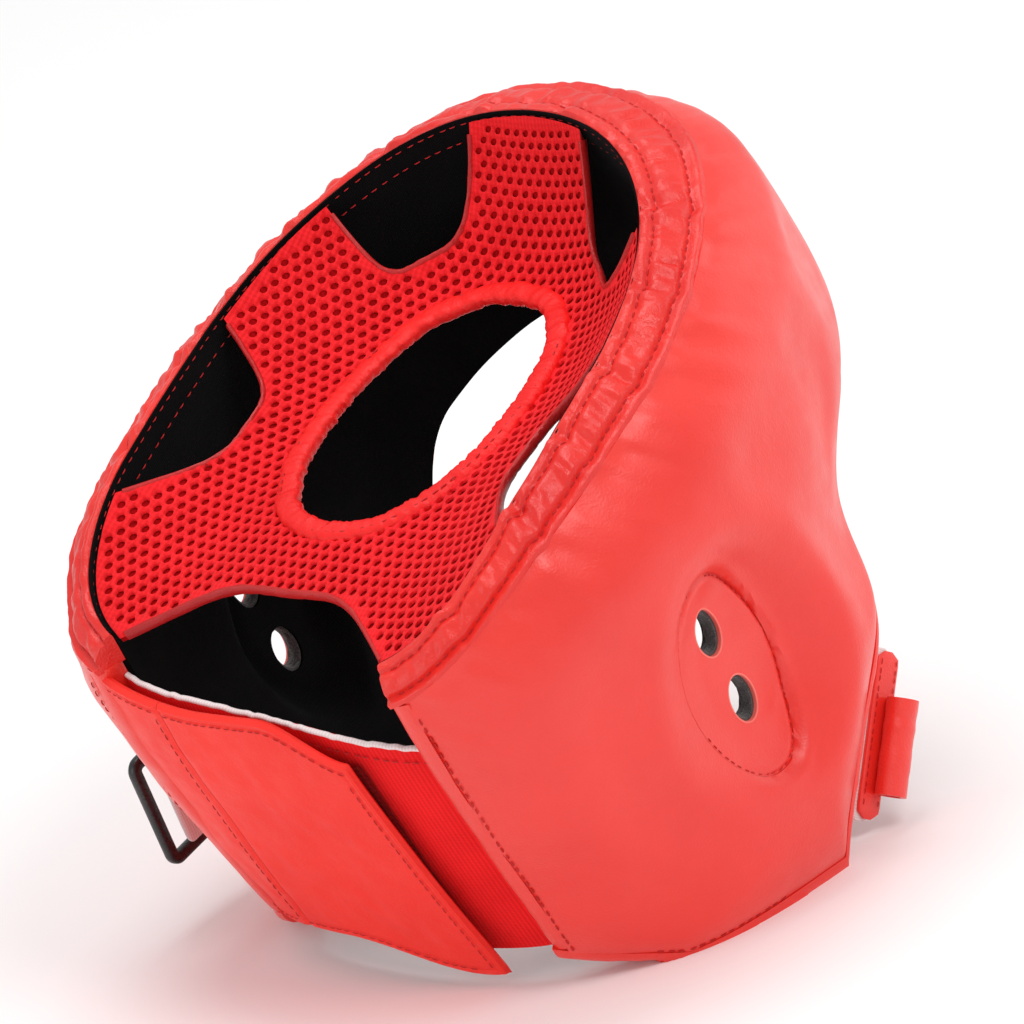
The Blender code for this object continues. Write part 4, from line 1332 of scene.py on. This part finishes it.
def tube_wall(name, outer, inner, mat, body, slot, nodes):
    """Open tube with a wall: outer and inner rings, joined at both ends."""
    n, k = outer.shape[:2]
    verts = np.concatenate([outer.reshape(-1, 3), inner.reshape(-1, 3)])
    half = n * k
    faces = []
    for p in range(k):
        q = (p + 1) % k
        for i in range(n - 1):
            faces.append((i * k + p, i * k + q, (i + 1) * k + q, (i + 1) * k + p))
            faces.append((half + i * k + q, half + i * k + p,
                          half + (i + 1) * k + p, half + (i + 1) * k + q))
        faces.append((p, half + p, half + q, q))
        a, b = (n - 1) * k + p, (n - 1) * k + q
        faces.append((a, b, half + b, half + a))
    return piece(name, verts, faces, mat, body, nodes)


# ---- ring and its strap ----
# the strap's sewn root and its far end, then its axes: along it, up across it, out of the cheek
ANCHOR = np.array((-108.5, -33.0, -34.0))
REAR_END = np.array((-106.5, -64.0, -29.0))
PULL = unit(REAR_END - ANCHOR)
RISE = np.array((0.0, 0.0, 1.0))
RISE = unit(RISE - PULL * RISE.dot(PULL))
FACE = np.cross(PULL, RISE)
FACE = FACE if FACE[0] < 0.0 else -FACE
STRAP_LONG = float(np.linalg.norm(REAR_END - ANCHOR))
RING_LONG, RING_WIDE, RING_BAR, RING_T = 38.0, 24.0, 4.0, 3.2


def ring_strap():
    """Strap folded round the ring's front bar: outer layer, fold, inner layer."""
    path = []
    for s in np.linspace(0.0, STRAP_LONG - 2.0, 20):
        path.append((s, 1.0 + 1.4 * float(ease(STRAP_LONG - 14.0, STRAP_LONG - 2.0, s))))
    for t in np.linspace(80.0, -80.0, 22):
        path.append((STRAP_LONG + 4.0 * math.cos(math.radians(t)) - 0.4,
                     3.9 * math.sin(math.radians(t))))
    for s in np.linspace(STRAP_LONG - 2.0, 6.0, 18):
        path.append((s, -1.2 - 1.2 * float(ease(STRAP_LONG - 14.0, STRAP_LONG - 2.0, s))))
    path = np.array(path)
    points = ANCHOR + path[:, :1] * PULL + path[:, 1:] * FACE
    way = unit_rows(np.gradient(path, axis=0))
    normal = -way[:, 1:] * PULL + way[:, :1] * FACE
    sections = []
    for t in np.linspace(0.0, 2.0 * math.pi, 20, endpoint=False):
        c = blunt(math.cos(t), 0.3) * 14.0
        d = blunt(math.sin(t), 0.7) * 0.75
        sections.append(points + RISE * c + normal * d)
    sweep("ring_strap_leather", stand(np.stack(sections, 1)), RED, "ring_strap",
          ("ring_strap",))
    s = np.linspace(2.0, STRAP_LONG - 6.0, 60)[:, None]
    lines = [(stand(ANCHOR + s * PULL + side * RISE + 1.85 * FACE), facing(FACE, 60))
             for side in (-11.0, 11.0)]
    stitches("ring_strap_stitches", lines, "ring_strap", pitch=3.2, length=2.1)
    tongue = oblong(REAR_END + PULL * 9.0 - FACE * 5.6, PULL, RISE, FACE, (15.0, 27.0, 1.6), 3.0)
    sweep("ring_strap_white_tongue", stand(tongue), BACKING, "ring_strap",
          ("ring_strap_tongue",))


def strap_ring():
    """Moulded oblong ring with rounded bars."""
    a = RING_LONG / 2.0 - RING_BAR / 2.0
    b = RING_WIDE / 2.0 - RING_BAR / 2.0
    corner = 2.6
    path = []
    for cx, cy, start in ((a - corner, b - corner, 0.0), (-a + corner, b - corner, 90.0),
                          (-a + corner, -b + corner, 180.0), (a - corner, -b + corner, 270.0)):
        for t in np.radians(np.linspace(start, start + 90.0, 9)):
            path.append((cx + corner * math.cos(t), cy + corner * math.sin(t)))
    path = np.array(path)
    dense = []
    for p, q in zip(path, np.roll(path, -1, 0)):
        steps = max(1, int(np.linalg.norm(q - p) / 1.5))
        dense += [p + (q - p) * k / steps for k in range(steps)]
    dense = np.array(dense)
    points = REAR_END + dense[:, :1] * RISE + (dense[:, 1:] + b) * PULL
    wrap = np.concatenate([points[-2:], points, points[:2]])
    sections = tube_along(wrap, FACE, RING_BAR, RING_T, 16, 0.55)[2:-2]
    sweep("strap_ring_moulded", stand(sections), PLASTIC, "ring",
          ("strap_ring",), ring=True)


# ---- stage ----
# camera axes and target fitted to the photograph's view: the camera's right and up in the frame
CAMERA_RIGHT = (-0.7183, -0.6497, -0.2487)
CAMERA_UP = (0.0667, -0.4202, 0.9050)
CAMERA_TARGET = (0.00028, -0.01264, 0.1102)
CAMERA_AWAY = 3.012
CAMERA_LENS = 358.3
# lights: name, place, size in metres, power in watts, colour
LIGHTS = (("key", (-1.5, 0.1, 1.9), 0.9, 15.0, (1.0, 0.99, 0.98)),
          ("cheek", (-0.7, -1.6, 0.4), 1.5, 4.5, (1.0, 1.0, 1.0)),
          ("fill", (0.6, 1.9, 0.7), 1.2, 6.0, (1.0, 1.0, 1.0)),
          ("top", (0.2, -0.3, 2.2), 1.2, 15.0, (1.0, 1.0, 1.0)))
LIGHTS_AIM = (0.0, 0.0, 0.1)
FLOOR_HALF = 14.0


def camera_and_lights():
    """Camera at the photograph's angle and soft studio light."""
    scene = bpy.context.scene
    scene.view_settings.view_transform = "Standard"
    x = Vector(CAMERA_RIGHT).normalized()
    z = x.cross(Vector(CAMERA_UP)).normalized()
    y = z.cross(x).normalized()
    data = bpy.data.cameras.new("camera")
    data.lens = CAMERA_LENS
    data.sensor_width = 36.0
    data.clip_end = 100.0
    camera = bpy.data.objects.new("camera", data)
    rotation = Matrix((x, y, z)).transposed()
    place = Vector(CAMERA_TARGET) + z * CAMERA_AWAY
    camera.matrix_world = Matrix.Translation(place) @ rotation.to_4x4()
    scene.collection.objects.link(camera)
    scene.camera = camera

    world = bpy.data.worlds.new("studio")
    world.use_nodes = True
    sky = world.node_tree.nodes["Background"].inputs
    sky["Color"].default_value = (1.0, 1.0, 1.0, 1.0)
    sky["Strength"].default_value = 0.65
    scene.world = world
    for name, place, size, power, colour in LIGHTS:
        light = bpy.data.lights.new(name, "AREA")
        light.shape = "DISK"
        light.size = size
        light.energy = power
        light.color = colour
        lamp = bpy.data.objects.new(name, light)
        lamp.location = place
        aim = Vector(LIGHTS_AIM) - Vector(place)
        lamp.rotation_euler = aim.to_track_quat("-Z", "Y").to_euler()
        scene.collection.objects.link(lamp)


def pale_floor():
    n = Nodes("pale_floor")
    tone = n.mix(n.span(n.noise(3.0, 2.0), 0.3, 0.7), (0.955, 0.955, 0.955), (0.97, 0.97, 0.97))
    n.finish(tone, 0.9, n.bump(n.noise(900.0, 2.0), 0.0001, 0.2))
    h = FLOOR_HALF
    corners = [(-h, -h, 0), (h, -h, 0), (h, h, 0), (-h, h, 0)]
    new_object("floor", corners, [(0, 1, 2, 3)], n.mat, closed=False)


camera_and_lights()
pale_floor()
shell_cover()
ear_panels()
rim_hem()
lower_roll()
inner_lining()
rear_edges()
web_face()
web_back()
crown_binding()
web_edges()
rear_closure()
chin_tab()
ring_strap()
strap_ring()
